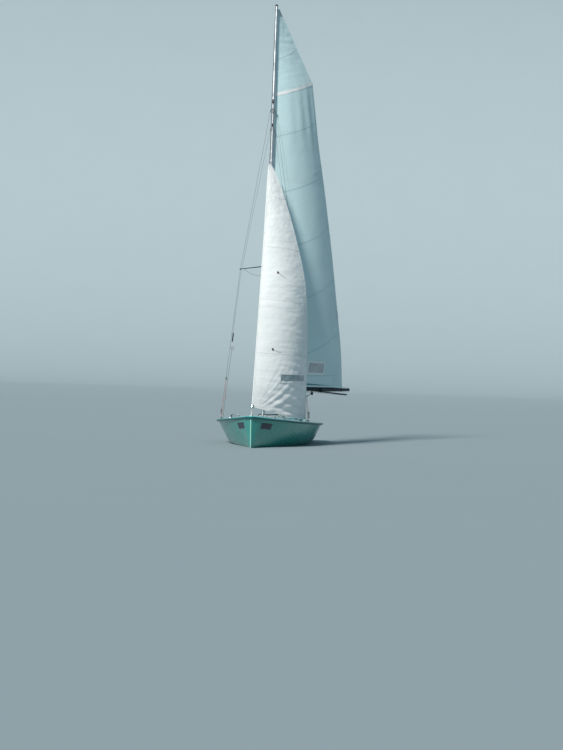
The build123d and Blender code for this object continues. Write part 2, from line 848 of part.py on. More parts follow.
with BuildPart() as pole_brackets:
    for reach in bracket_reaches:
        share = (reach - pole_start) / pole_length
        pole_level = pole_front_rise - share * (pole_front_rise + pole_aft_drop)
        with BuildSketch(boom_plane(reach - bracket_length / 2)):
            with Locations((-pole_side, pole_level)):
                Circle(pole_diameter / 2 + 5)
            with Locations((-boom_width / 2 - 3, 0)):
                Rectangle(6, 16)
            make_hull()
            with Locations((-pole_side, pole_level)):
                Circle(pole_diameter / 2 + 4 * seat, mode=Mode.SUBTRACT)
            SlotOverall(boom_depth, boom_width, rotation=90, mode=Mode.SUBTRACT)
        extrude(amount=bracket_length)
write_part(pole_brackets, "pole_brackets")


def sail_section(luff, leech, camber):
    """Thin curved section of a sail between its luff and its leech."""
    chord = (leech - luff).length
    along = (leech - luff).normalized()
    to_lee = Vector(along.Y, -along.X, 0).normalized()
    half = sail_thickness / 2
    belly = camber * chord
    with BuildSketch(Plane(origin=luff, x_dir=along, z_dir=along.cross(to_lee))) as section:
        with BuildLine():
            ThreePointArc((0, half), (0.45 * chord, belly + half), (chord, half))
            Line((chord, half), (chord, -half))
            ThreePointArc((chord, -half), (0.45 * chord, belly - half), (0, -half))
            Line((0, -half), (0, half))
        make_face()
    return section.sketch


# Mainsail sections from foot to head, the foot just clear of the boom's top
main_foot = boom_hinge.Z + boom_depth / 2 + foot_gap
main_rows = [
    # luff_height, leech_height, chord, angle, camber
    (main_foot, main_foot, 2450, 27.5, 0.05),
    (1650, 1640, 2395, 27.2, 0.09),
    (2400, 2360, 2225, 27.2, 0.11),
    (3300, 3270, 1985, 27.5, 0.12),
    (4250, 4260, 1675, 28.2, 0.12),
    (5150, 5250, 1320, 29.7, 0.11),
    (5950, 6150, 1020, 33.0, 0.09),
    (main_head, main_head + 10, 70, 33.0, 0.02),
]


def hinge_at(height):
    """Point of the boom's hinge line at a height."""
    run = (height - boom_hinge.Z) * tan(rake)
    return Vector(0, boom_hinge.Y + run, height)


def main_section(luff_height, leech_height, chord, angle, camber):
    """One mainsail section set off from the hinge line."""
    turn = radians(angle)
    level = Vector(sin(turn), cos(turn), 0)
    luff = hinge_at(luff_height) - level * luff_ahead
    rise = Vector(0, 0, leech_height - luff_height)
    return sail_section(luff, luff + level * chord + rise, camber)


with BuildPart() as mainsail:
    loft([main_section(*row) for row in main_rows], ruled=True)
write_part(mainsail, "mainsail")

# Jib sections from foot to head
jib_rows = [
    # luff_height, leech_out, leech_aft, leech_height, camber
    (tack_height, 670, 298, 450, 0.08),
    (1100, 690, 238, 1000, 0.11),
    (1600, 700, 173, 1560, 0.12),
    (2200, 705, 108, 2180, 0.13),
    (2750, 679, 34, 2750, 0.13),
    (3430, 546, -43, 3450, 0.12),
    (3900, 430, -92, 3920, 0.10),
    (4500, 200, -166, 4520, 0.05),
    (4640, 60, -170, 4650, 0.02),
]


def jib_section(luff_height, leech_out, leech_aft, leech_height, camber):
    """One jib section with its luff close behind the forestay, its leech set off from the mast."""
    share = (luff_height - stay_foot.Z) / (stay_top.Z - stay_foot.Z)
    luff = stay_foot + (stay_top - stay_foot) * share + Vector(0, jib_luff_gap, 0)
    return sail_section(luff, Vector(leech_out, mast_y + leech_aft, leech_height), camber)


with BuildPart() as jib:
    loft([jib_section(*row) for row in jib_rows], ruled=True)
write_part(jib, "jib")

# Jib fairleads on the side decks
lead_out = half_beam - lead_inset
lead_y = mast_y + lead_aft
lead_seat = deck_seat(lead_out, lead_y, lead_width / 2, lead_length / 2)
with BuildPart() as jib_fairleads:
    with Locations((lead_out, lead_y, lead_seat)):
        Box(lead_width, lead_length, lead_thickness, align=standing)
        Box(lead_post, lead_post_length, lead_sheave_height, align=standing)
        with Locations((0, 0, lead_sheave_height)):
            Cylinder(lead_sheave / 2, lead_sheave_width, rotation=(0, 90, 0))
    mirror(about=Plane.YZ)
write_part(jib_fairleads, "jib_fairleads")

# Rudder hangings, stock, blade and tiller
rudder_y = transom_y + rudder_gap
with BuildPart() as rudder_gudgeons:
    for height in (gudgeon_low, gudgeon_high):
        with Locations((0, transom_y + gudgeon_plate / 2, height)):
            Box(gudgeon_pad, gudgeon_plate, gudgeon_depth + gudgeon_arm)
        with Locations((0, transom_y + rudder_gap / 2, height)):
            Box(gudgeon_arm, rudder_gap, gudgeon_depth)
        with Locations((0, rudder_y, height)):
            Cylinder(pintle_diameter / 2 + gudgeon_wall, gudgeon_depth)
            Cylinder(pintle_diameter / 2 + pin_clearance, gudgeon_depth + 1, mode=Mode.SUBTRACT)
write_part(rudder_gudgeons, "rudder_gudgeons")

stock_front = rudder_y + stock_offset
stock_back = stock_front + stock_depth
stock_top = tiller_height + stock_rise
stock_side = Plane(origin=(0, 0, 0), x_dir=(0, 1, 0), z_dir=(1, 0, 0))
blade_axis_y = rudder_y + blade_pivot_aft
with BuildPart() as rudder_stock:
    with BuildSketch(stock_side):
        with BuildLine():
            Polyline((stock_front, stock_low), (stock_back, stock_low),
                     (stock_back, blade_pivot_height + stock_shoulder),
                     (stock_front + 0.6 * stock_depth, stock_top), (stock_front, stock_top),
                     (stock_front, stock_low))
        make_face()
    extrude(amount=stock_gap / 2 + stock_cheek, both=True)
    fillet(rudder_stock.edges().filter_by(Axis.X).group_by(Axis.Y)[-1], stock_corner)
    with Locations((0, stock_front + stock_spacer + cut_height / 2, stock_low)):
        Box(stock_gap, cut_height, 2 * cut_height, mode=Mode.SUBTRACT)
    with Locations((0, stock_front, tiller_height)):
        Box(stock_gap, cut_height, tiller_size + 2 * seat, mode=Mode.SUBTRACT)
    with Locations((0, stock_front, stock_top)):
        Box(stock_gap, cut_height, 2 * stock_rise, mode=Mode.SUBTRACT)
write_part(rudder_stock, "rudder_stock")

with BuildPart() as rudder_pintles:
    for height in (gudgeon_low, gudgeon_high):
        arm_height = height + gudgeon_depth / 2 + seat + pintle_arm / 2
        with Locations((0, (rudder_y + stock_front) / 2 - 4, arm_height)):
            Box(pintle_width, stock_front - rudder_y + 8, pintle_arm)
        with Locations((0, rudder_y, arm_height - pintle_arm / 2 - gudgeon_depth / 2 - 2)):
            Cylinder(pintle_diameter / 2, gudgeon_depth + pintle_arm + 4)
write_part(rudder_pintles, "rudder_pintles")

with BuildPart() as blade_pin:
    with Locations((0, blade_axis_y, blade_pivot_height)):
        Cylinder(pintle_diameter / 2, stock_gap - 2 * seat, rotation=(0, 90, 0))
write_part(blade_pin, "blade_pin")

blade_head = blade_pivot_aft - stock_offset - stock_spacer - 8
blade_low = blade_pivot_height - blade_length
blade_front = blade_axis_y - blade_head
with BuildPart() as rudder_blade:
    with BuildSketch(stock_side):
        with BuildLine():
            blade_tip = (blade_front + blade_tip_chord + blade_tip_out, blade_low + blade_tip_up)
            blade_toe = (blade_front + blade_tip_front, blade_low + blade_tip_back)
            ThreePointArc((blade_front, blade_pivot_height),
                          (blade_axis_y, blade_pivot_height + blade_head),
                          (blade_axis_y + blade_head, blade_pivot_height))
            Polyline((blade_axis_y + blade_head, blade_pivot_height), (blade_front + blade_chord, 0),
                     blade_tip)
            ThreePointArc(blade_tip, (blade_front + blade_tip_chord - blade_tip_back, blade_low), blade_toe)
            Line(blade_toe, (blade_front, blade_pivot_height))
        make_face()
        with Locations((blade_axis_y, blade_pivot_height)):
            Circle(pintle_diameter / 2 + pin_clearance, mode=Mode.SUBTRACT)
    extrude(amount=blade_thickness / 2, both=True)
write_part(rudder_blade, "rudder_blade")

tiller_aft = stock_front + 0.5 * stock_depth
tiller_front = rudder_y - tiller_length
with BuildPart() as tiller:
    with Locations((0, (tiller_front + tiller_aft) / 2, tiller_height)):
        Box(stock_gap - 2 * seat, tiller_aft - tiller_front, tiller_size)
    fillet(tiller.edges().filter_by(Axis.Y), 6)
write_part(tiller, "tiller")

# Tiller extension on its swivel above the tiller's front end
swivel_y = tiller_front + swivel_setback
swivel_seat = tiller_height + tiller_size / 2
swivel = Vector(0, swivel_y, swivel_seat + swivel_rise)
with BuildPart() as tiller_swivel:
    with Locations((0, swivel_y, swivel_seat)):
        Cylinder(swivel_foot / 2, swivel_foot_height, align=standing)
        Cylinder(swivel_post / 2, swivel_rise + 0.65 * extension_diameter, align=standing)
write_part(tiller_swivel, "tiller_swivel")

turn = radians(extension_angle)
reach_out = Vector(-sin(turn), -cos(turn), 0)
extension_plane = Plane(origin=swivel + reach_out * plug_start, x_dir=(-cos(turn), sin(turn), 0),
                        z_dir=reach_out)
with BuildPart() as extension_joint:
    with Locations(swivel):
        Cylinder(swivel_collar / 2, extension_diameter - 4)
    with BuildSketch(extension_plane):
        Circle(extension_diameter / 2 - 3)
    extrude(amount=swivel_post - plug_start)
    with BuildSketch(extension_plane):
        Circle(extension_diameter / 2 - 1)
    extrude(amount=plug_length)
    with Locations(swivel):
        Cylinder(swivel_post / 2 + pin_clearance, 3 * extension_diameter, mode=Mode.SUBTRACT)
write_part(extension_joint, "extension_joint")

with BuildPart() as tiller_extension:
    with BuildSketch(extension_plane.offset(plug_length)):
        Circle(extension_diameter / 2)
    extrude(amount=extension_length - plug_length)
write_part(tiller_extension, "tiller_extension")
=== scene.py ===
"""Looks of a two-handed sailing dinghy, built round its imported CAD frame.

Metres, X to port, Y aft, Z up, the waterline at Z = 0.
"""
import bpy
import json
from math import atan2, cos, exp, pi, radians, sin, tan
from mathutils import Matrix, Vector, noise


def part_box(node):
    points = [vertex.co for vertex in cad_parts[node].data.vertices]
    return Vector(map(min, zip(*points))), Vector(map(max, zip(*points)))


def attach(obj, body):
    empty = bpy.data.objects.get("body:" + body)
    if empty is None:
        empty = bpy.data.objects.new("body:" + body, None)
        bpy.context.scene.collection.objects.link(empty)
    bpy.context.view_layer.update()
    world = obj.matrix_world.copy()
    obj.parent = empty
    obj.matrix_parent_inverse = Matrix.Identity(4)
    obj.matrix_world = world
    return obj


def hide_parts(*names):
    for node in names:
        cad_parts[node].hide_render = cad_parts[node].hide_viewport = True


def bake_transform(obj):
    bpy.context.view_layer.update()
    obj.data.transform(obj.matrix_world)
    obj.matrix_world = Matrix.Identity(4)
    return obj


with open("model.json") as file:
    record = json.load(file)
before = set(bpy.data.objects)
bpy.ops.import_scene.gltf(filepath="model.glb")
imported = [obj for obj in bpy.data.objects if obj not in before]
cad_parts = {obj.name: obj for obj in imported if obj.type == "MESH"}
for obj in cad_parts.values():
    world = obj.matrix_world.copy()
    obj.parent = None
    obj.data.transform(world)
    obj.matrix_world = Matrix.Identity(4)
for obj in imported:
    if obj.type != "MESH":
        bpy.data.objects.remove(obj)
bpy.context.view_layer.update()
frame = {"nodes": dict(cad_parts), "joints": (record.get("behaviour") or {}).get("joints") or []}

bl_info = {
    "name": "Sailing dinghy",
    "version": (1, 0, 0),
    "blender": (4, 5, 0),
    "location": "View3D > Sidebar > Dinghy",
    "description": "Sails, rigging, fittings and finishes of a sailing dinghy",
    "category": "Add Mesh",
}


def at(x, y=0, z=0):
    """Point or step of three coordinates."""
    return Vector((x, y, z))


PORT, AFT, UP = at(1), at(0, 1), at(0, 0, 1)

# Lines that the frame sets
RAKE = radians(1.33)
MAST_HALF_DEPTH = 0.0375
HEEL_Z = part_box("mast")[0].z + MAST_HALF_DEPTH * sin(RAKE)
HEEL_Y = -0.798
HINGE = Vector(next(j["pos_m"] for j in frame["joints"] if j["name"] == "boom_swing"))
BOOM_TURN = radians(27.5)
BOOM_LINE = at(sin(BOOM_TURN), cos(BOOM_TURN))
BOOM_SIDE = at(cos(BOOM_TURN), -sin(BOOM_TURN))
STAY_FOOT = at(0, -2.345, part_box("forestay")[0].z)
STAY_HEAD = at(0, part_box("forestay")[1].y - 0.002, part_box("forestay")[1].z)

# Mainsail: luff height, leech height, chord, angle from the centreline, camber
MAIN_ROWS = (
    (HINGE.z + 0.0351, HINGE.z + 0.0351, 2.45, 27.5, 0.05),
    (1.65, 1.64, 2.395, 27.2, 0.09),
    (2.4, 2.36, 2.225, 27.2, 0.11),
    (3.3, 3.27, 1.985, 27.5, 0.12),
    (4.25, 4.26, 1.675, 28.2, 0.12),
    (5.15, 5.25, 1.32, 29.7, 0.11),
    (5.95, 6.15, 1.02, 33.0, 0.09),
    (7.27, 7.28, 0.07, 33.0, 0.02),
)
# Jib: luff height, leech out, leech aft, leech height, camber
JIB_ROWS = (
    (0.652, 0.676, -0.5, 0.45, 0.08),
    (1.1, 0.69, -0.56, 1.0, 0.11),
    (1.6, 0.695, -0.625, 1.56, 0.12),
    (2.2, 0.68, -0.69, 2.18, 0.12),
    (2.75, 0.63, -0.764, 2.75, 0.11),
    (3.43, 0.466, -0.841, 3.45, 0.1),
    (3.9, 0.325, -0.89, 3.92, 0.08),
    (4.25, 0.206, -0.925, 4.27, 0.06),
    (4.5, 0.096, -0.96, 4.52, 0.04),
    (4.64, 0.026, -0.968, 4.65, 0.02),
)

MAIN_CORNER = 5.95
JIB_LOW, JIB_HIGH = JIB_ROWS[0][0], JIB_ROWS[-1][0]
JIB_FOOT_SAG = 0.05


def fair(rows, height, corner=None):
    """Row of a sail table at a luff height, on smooth curves with a corner where one is named."""
    last = len(rows) - 1
    span = next((i for i in range(last) if height <= rows[i + 1][0]), last - 1)
    low, high = rows[span], rows[span + 1]
    before, after = rows[max(span - 1, 0)], rows[min(span + 2, last)]
    if low[0] == corner:
        before, after = low, high
    elif high[0] == corner:
        after = high
    step = high[0] - low[0]
    part = min(max((height - low[0]) / step, 0), 1)
    row = []
    for a, b, c, d in zip(before, low, high, after):
        slope_low = (c - a) / (high[0] - before[0]) * step
        slope_high = (d - b) / (after[0] - low[0]) * step
        cubic = 2 * (b - c) + slope_low + slope_high
        square = 3 * (c - b) - 2 * slope_low - slope_high
        row.append(b + part * (slope_low + part * (square + part * cubic)))
    return row


def belly(share):
    """Depth of a sail's curve along its chord, fullest a little ahead of the middle."""
    return 4 * share * (1 - share) * (1 + 0.45 * (0.5 - share))


def hinge_line(height):
    """Point of the line that the boom and the mainsail turn about."""
    return at(0, HINGE.y + (height - HINGE.z) * tan(RAKE), height)


def main_point(share, height):
    """Point of the mainsail at a share of its chord and a luff height."""
    luff_z, leech_z, chord, turn, camber = fair(MAIN_ROWS, height, MAIN_CORNER)
    turn = radians(turn)
    level = at(sin(turn), cos(turn))
    lee = at(cos(turn), -sin(turn))
    luff = hinge_line(luff_z) - level * 0.004
    room = 0.011 * exp(-((luff_z - 1.7) / 0.55) ** 2 - ((share - 0.27) / 0.16) ** 2)
    return (luff + level * (chord * share) + UP * ((leech_z - luff_z) * share)
            + lee * (camber * chord * belly(share) - room))


def jib_point(share, height):
    """Point of the jib at a share of its chord and a luff height."""
    luff_z, out, aft, leech_z, camber = fair(JIB_ROWS, height)
    part = (luff_z - STAY_FOOT.z) / (STAY_HEAD.z - STAY_FOOT.z)
    luff = STAY_FOOT.lerp(STAY_HEAD, part) + at(0, 0.0046)
    leech = at(out, aft, leech_z)
    along = leech - luff
    lee = at(along.y, -along.x).normalized()
    sag = JIB_FOOT_SAG * 4 * share * (1 - share) * max(0, 1 - (height - JIB_LOW) / 0.6) ** 2
    return luff + along * share + lee * (camber * along.length * belly(share)) - UP * sag


def mast_point(height, side=0.0, aft=0.0):
    """Point off the mast's middle line at a height."""
    centre = at(side, HEEL_Y + (height - HEEL_Z) * tan(RAKE), height)
    return centre + at(0, cos(RAKE), -sin(RAKE)) * aft


def boom_point(reach, lee=0.0, rise=0.0):
    """Point off the boom's middle line at a reach from its hinge."""
    return HINGE + BOOM_LINE * reach + BOOM_SIDE * lee + UP * rise


class Sail:
    """A sail: its shape, creases, luff heights, window and body."""

    def __init__(self, place, ripple, rows, window, body):
        self.place, self.ripple, self.window, self.body = place, ripple, window, body
        self.low, self.high = rows[0][0], rows[-1][0]

    def level(self, share, z):
        """Luff height of the point that is at a share of the chord and a height z."""
        low, high = self.low, self.high
        for _ in range(16):
            middle = (low + high) / 2
            if self.place(share, middle).z < z:
                low = middle
            else:
                high = middle
        return (low + high) / 2

    def point(self, share, z):
        """Point of the uncreased sail at a share of the chord and a height z."""
        return self.place(share, self.level(share, z))

    def cloth(self, share, height):
        """Point of the creased sail at a luff height, and the way its cloth faces there."""
        across = self.place(min(share + 0.01, 1), height) - self.place(max(share - 0.01, 0), height)
        upward = self.place(share, height + 0.02) - self.place(share, height - 0.02)
        normal = across.cross(upward).normalized()
        return self.place(share, height) + normal * self.ripple(share, height), normal

    def spot(self, share, z):
        """Point of the creased sail at a height z, and the way its cloth faces there."""
        return self.cloth(share, self.level(share, z))


def deck_top(x, y):
    """Height of the deck's surface at a place."""
    hit, spot, *_ = frame["nodes"]["deck_moulding"].ray_cast(at(x, y, 3), -UP)
    return spot.z if hit else 0.5


# Camera fitted to the photo's horizon, mast and bow, and the way to the key light
CAMERA_PLACE = at(3.928, -35.384, 1.173)
CAMERA_TURN = radians(6)
CAMERA_ROLL = radians(1.8)
TO_KEY = at(-0.217, -0.81, 0.545).normalized()

# Thickness of the sails and of their tapes, and the spacing of a tape's points
CLOTH_THICKNESS = 0.0012
TAPE_THICKNESS = 0.0006
TAPE_STEP = 0.016

# Settings a user would change


def colour_setting(name, description, default):
    """Setting for a colour."""
    return bpy.props.FloatVectorProperty(
        name=name, description=description, default=default, subtype="COLOR", size=3, min=0, max=1)


def length_setting(name, description, default):
    """Setting for a length in metres."""
    return bpy.props.FloatProperty(name=name, description=description, default=default, unit="LENGTH")


def number_setting(name, description, default):
    """Setting for a plain number."""
    return bpy.props.FloatProperty(name=name, description=description, default=default)


class DinghyCloth(bpy.types.PropertyGroup):
    """Sizes and colours of the sails."""
    cloth: colour_setting("Cloth", "Colour of the sailcloth", (0.86, 0.88, 0.88))
    # The mainsail's cloth is tinted teal and darker than the jib's cloth: painted shade and sky reflection on white
    # cloth
    main: colour_setting("Mainsail cloth", "Colour of the mainsail's cloth, with a teal tint of painted shade", (0.61, 0.8, 0.83))
    # Dark teal painted shade for the shelf under the mainsail's foot and the strip just above it
    painted_foot_shade: colour_setting("Foot shade", "Painted shade along the mainsail's foot, darker than its cloth", (0.05, 0.2, 0.22))
    window: colour_setting("Window", "Tint of the clear panes", (0.3, 0.36, 0.4))
    panel: length_setting("Panel", "Height of one cloth panel", 0.87)
    crease: length_setting("Crease", "Depth of the creases in the jib", 0.0055)
    fold: length_setting("Fold", "Depth of the folds at the jib's foot", 0.024)


class DinghyHull(bpy.types.PropertyGroup):
    """Colours of the hull, deck and foils."""
    topsides: colour_setting("Topsides", "Colour of the hull's gelcoat", (0.022, 0.29, 0.25))
    deck: colour_setting("Deck", "Colour of the deck's gelcoat", (0.02, 0.42, 0.44))
    rim: colour_setting("Rim", "Colour of the rubbing strakes", (0.004, 0.085, 0.085))
    plate: colour_setting("Plate", "Colour of the blank plates", (0.01, 0.014, 0.035))


class DinghyRig(bpy.types.PropertyGroup):
    """Sizes and colours of spars and ropes."""
    sheet_size: length_setting("Sheet", "Thickness of the sheets", 0.009)
    alloy: colour_setting("Alloy", "Colour of the mast", (0.78, 0.79, 0.8))
    # The boom colour is painted shade: a dark grey teal for the shade and dark reflections on bare alloy
    boom: colour_setting("Boom", "Colour of the boom and the pole, darkened as painted shade", (0.035, 0.06, 0.07))


class DinghyStage(bpy.types.PropertyGroup):
    """Camera, light and floor."""
    lens: number_setting("Lens", "Focal length on a 36 mm sensor, in millimetres", 100.8)
    sun: number_setting("Key light", "Strength of the key light", 4.0)
    sky: number_setting("Fill light", "Strength of the light all round", 0.32)
    floor: colour_setting("Floor", "Colour of the floor", (0.32, 0.39, 0.42))


# Materials


class Finish:
    """A material with one Principled shader and a pattern on Object coordinates."""

    def __init__(self, name, colour, roughness, metallic=0.0, **values):
        self.material = bpy.data.materials.new(name)
        self.material.use_nodes = True
        self.material.diffuse_color = (*colour, 1)
        self.tree = self.material.node_tree
        self.shader = self.tree.nodes["Principled BSDF"]
        self.set(Base_Color=(*colour, 1), Roughness=roughness, Metallic=metallic, **values)

    def set(self, **values):
        """Puts values on the shader's own sockets."""
        for socket, value in values.items():
            self.shader.inputs[socket.replace("_", " ")].default_value = value

    def node(self, kind, inputs=None, **settings):
        """One node with its settings and inputs; an input may be another node's output."""
        made = self.tree.nodes.new("ShaderNode" + kind)
        for key, value in settings.items():
            setattr(made, key, value)
        for key, value in (inputs or {}).items():
            if isinstance(value, bpy.types.NodeSocket):
                self.tree.links.new(value, made.inputs[key])
            else:
                made.inputs[key].default_value = value
        return made

    def place(self, scale=(1, 1, 1), turn=(0, 0, 0), by="Object"):
        """Coordinates of the pattern, stretched and turned."""
        source = self.node("TexCoord").outputs[by]
        return self.node("Mapping", {"Vector": source, "Scale": scale, "Rotation": turn}).outputs[0]

    def cloud(self, scale, detail=4, stretch=(1, 1, 1), roughness=0.55, by="Object"):
        """Soft noise at a scale."""
        return self.node("TexNoise", {
            "Vector": self.place(stretch, by=by), "Scale": scale, "Detail": detail, "Roughness": roughness,
        }).outputs["Fac"]

    def ramp(self, factor, low, high, first, last):
        """Value or colour that runs from first to last as factor goes from low to high."""
        made = self.node("ValToRGB", {"Fac": factor})
        stops = made.color_ramp.elements
        stops[0].position, stops[1].position = low, high
        for stop, value in zip(stops, (first, last)):
            stop.color = (*value, 1) if hasattr(value, "__len__") else (value, value, value, 1)
        return made.outputs["Color"]

    def mix(self, factor, first, last, blend="MIX"):
        """Mixed colours."""
        made = self.node("Mix", data_type="RGBA", blend_type=blend)
        for index, value in ((0, factor), (6, first), (7, last)):
            if isinstance(value, bpy.types.NodeSocket):
                self.tree.links.new(value, made.inputs[index])
            else:
                made.inputs[index].default_value = (*value, 1) if hasattr(value, "__len__") else value
        return made.outputs[2]

    def join(self, socket, output):
        """Links a pattern to one socket of the shader."""
        self.tree.links.new(output, self.shader.inputs[socket])

    def vary(self, socket, scale, detail, high, first, last, low=0.3):
        """Soft noise between two values or colours on one socket of the shader."""
        self.join(socket, self.ramp(self.cloud(scale, detail), low, high, first, last))

    def relief(self, *layers):
        """Bump made of (height, strength, distance) layers."""
        normal = None
        for height, strength, distance in layers:
            inputs = {"Height": height, "Strength": strength, "Distance": distance}
            if normal:
                inputs["Normal"] = normal
            normal = self.node("Bump", inputs).outputs[0]
        self.join("Normal", normal)


def shade(colour, factor):
    """A colour made darker or lighter."""
    return tuple(min(1, c * factor) for c in colour)


def gelcoat(name, colour, grain=0.0):
    """Polished gelcoat with chalked patches, fine scratches and, where asked, an anti-slip grain."""
    made = Finish(name, colour, 0.28, Coat_Weight=0.35, Coat_Roughness=0.12)
    patches = made.cloud(1.7, 5)
    worn = made.ramp(made.cloud(9, 6, (1, 0.35, 1)), 0.56, 0.84, 0, 0.16)
    height = made.node("SeparateXYZ", {"Vector": made.node("TexCoord").outputs["Object"]}).outputs["Z"]
    scum = made.mix(made.ramp(height, 0.0, 0.055, 0.34, 0), (0, 0, 0), made.cloud(6, 6, (1, 1, 0.3)), "ADD")
    tone = made.mix(patches, shade(colour, 0.94), shade(colour, 1.06))
    tone = made.mix(worn, tone, tuple(0.8 * c + 0.14 for c in colour))
    made.join("Base Color", made.mix(made.ramp(scum, 0.35, 0.9, 0, 0.4), tone, (0.16, 0.19, 0.15)))
    made.vary("Roughness", 3.5, 6, 0.75, 0.2, 0.36)
    layers = [(made.cloud(0.7, 2), 0.1, 0.004), (made.cloud(70, 4, (1, 0.1, 1)), 0.02, 0.0004)]
    if grain:
        dots = made.node("TexVoronoi", {"Vector": made.place(), "Scale": 160.0})
        layers.append((made.ramp(dots.outputs["Distance"], 0.15, 0.6, 1, 0), grain, 0.0006))
    made.relief(*layers)
    return made.material


def metal(name, colour, roughness, along=(1, 1, 0.02), metallic=1.0):
    """Alloy or steel with fine drawn lines and handling marks."""
    made = Finish(name, colour, roughness, metallic)
    made.vary("Roughness", 14, 6, 0.8, roughness * 0.75, roughness * 1.45)
    made.vary("Base Color", 5, 5, 0.8, shade(colour, 0.88), shade(colour, 1.06))
    made.relief((made.cloud(420, 2, along), 0.1, 0.0003), (made.cloud(38, 4), 0.05, 0.0006))
    return made.material


def moulded(name, colour, roughness=0.45):
    """Moulded plastic with a fine grain and rubbed edges."""
    made = Finish(name, colour, roughness)
    made.vary("Base Color", 30, 5, 0.8, shade(colour, 0.85), shade(colour, 1.25), 0.35)
    made.vary("Roughness", 22, 5, 0.8, roughness * 0.8, roughness * 1.3)
    made.relief((made.cloud(900, 2), 0.12, 0.0002), (made.cloud(50, 4), 0.05, 0.0005))
    return made.material


def rope(name, colour, fleck, pitch=0.012):
    """Braided rope: crossed strands on the piece's own UV, with coloured flecks."""
    made = Finish(name, colour, 0.78, Sheen_Weight=0.35)
    waves = []
    for turn in (0.62, -0.62):
        place = made.place((1, 1, 1), (0, 0, turn), by="UV")
        waves.append(made.node("TexWave", {
            "Vector": place, "Scale": 1 / pitch / 2, "Distortion": 0.4, "Detail": 1.0,
        }).outputs["Fac"])
    braid = made.mix(0.5, waves[0], waves[1])
    flecks = made.ramp(made.mix(0.5, waves[0], made.cloud(70, 2)), 0.58, 0.66, 0, 1)
    made.join("Base Color", made.mix(flecks, made.mix(braid, shade(colour, 0.7), shade(colour, 1.1)), fleck))
    made.relief((braid, 0.6, 0.0008), (made.cloud(900, 2), 0.3, 0.0003))
    return made.material


def sailcloth(name, colour, panel):
    """Woven polyester: each panel a little different, a fine weave and a crumpled hand."""
    made = Finish(name, colour, 0.55, Sheen_Weight=0.15)
    height = made.node("SeparateXYZ", {"Vector": made.place(by="UV")}).outputs["Y"]
    number = made.node("Math", {0: height, 1: panel}, operation="DIVIDE").outputs[0]
    whole = made.node("Math", {0: number}, operation="FLOOR").outputs[0]
    chance = made.node("TexWhiteNoise", {"W": whole}, noise_dimensions="1D").outputs["Value"]
    tint = made.mix(chance, shade(colour, 0.965), shade(colour, 1.02))
    stain = made.ramp(made.cloud(1.3, 5), 0.45, 0.85, 0, 0.16)
    made.join("Base Color", made.mix(stain, tint, (0.74, 0.77, 0.74)))
    made.vary("Roughness", 4, 5, 0.8, 0.45, 0.66)
    weave = made.node("TexBrick", {
        "Vector": made.place(by="UV"), "Scale": 420.0, "Mortar Size": 0.03, "Brick Width": 0.5,
        "Row Height": 0.25,
    }).outputs["Fac"]
    crumple = made.cloud(11, 5, (1, 1, 2.2), by="UV")
    fine = made.cloud(38, 4, (1, 1.8, 1), by="UV")
    made.relief((crumple, 0.3, 0.01), (fine, 0.22, 0.003), (weave, 0.1, 0.0002))
    return made.material


def tape(name, colour, stitch):
    """Cloth tape with stitching along both edges; its UV map runs along it in metres, across it from 0 to 1."""
    made = Finish(name, colour, 0.5, Sheen_Weight=0.15)
    place = made.node("SeparateXYZ", {"Vector": made.node("TexCoord").outputs["UV"]})
    along, across = place.outputs["X"], place.outputs["Y"]
    wave = made.node("Math", {0: along, 1: 700.0}, operation="MULTIPLY").outputs[0]
    wave = made.node("Math", {0: wave}, operation="SINE").outputs[0]
    sway = made.node("Math", {0: wave, 1: 0.04, 2: across}, operation="MULTIPLY_ADD").outputs[0]
    threads = None
    for row in (0.2, 0.8):
        off = made.node("Math", {0: sway, 1: row}, operation="SUBTRACT").outputs[0]
        near = made.node("Math", {0: off}, operation="ABSOLUTE").outputs[0]
        line = made.ramp(near, 0.02, 0.05, 1, 0)
        threads = line if threads is None else made.mix(1.0, threads, line, "ADD")
    tone = made.ramp(made.cloud(7, 5), 0.3, 0.8, shade(colour, 0.94), shade(colour, 1.04))
    made.join("Base Color", made.mix(threads, tone, stitch))
    made.vary("Roughness", 9, 5, 0.8, 0.42, 0.62)
    made.relief((threads, 0.4, 0.0006), (made.cloud(40, 4), 0.15, 0.002))
    return made.material


def webbing(name, colour):
    """Woven webbing with ribs across it."""
    made = Finish(name, colour, 0.8, Sheen_Weight=0.3)
    ribs = made.node("TexWave", {"Vector": made.place(), "Scale": 90.0, "Distortion": 0.6}, bands_direction="Y")
    made.join("Base Color", made.mix(ribs.outputs["Fac"], shade(colour, 0.7), shade(colour, 1.3)))
    made.relief((ribs.outputs["Fac"], 0.5, 0.001), (made.cloud(500, 2), 0.3, 0.0004))
    return made.material


def clear_pane(name, colour):
    """Clear vinyl, a little milky and crazed."""
    made = Finish(name, colour, 0.16, IOR=1.45, Alpha=0.62, Specular_IOR_Level=0.6)
    made.vary("Base Color", 6, 6, 0.8, shade(colour, 0.85), shade(colour, 1.3))
    made.vary("Roughness", 25, 5, 0.8, 0.1, 0.32)
    made.relief((made.cloud(18, 4), 0.25, 0.004))
    return made.material


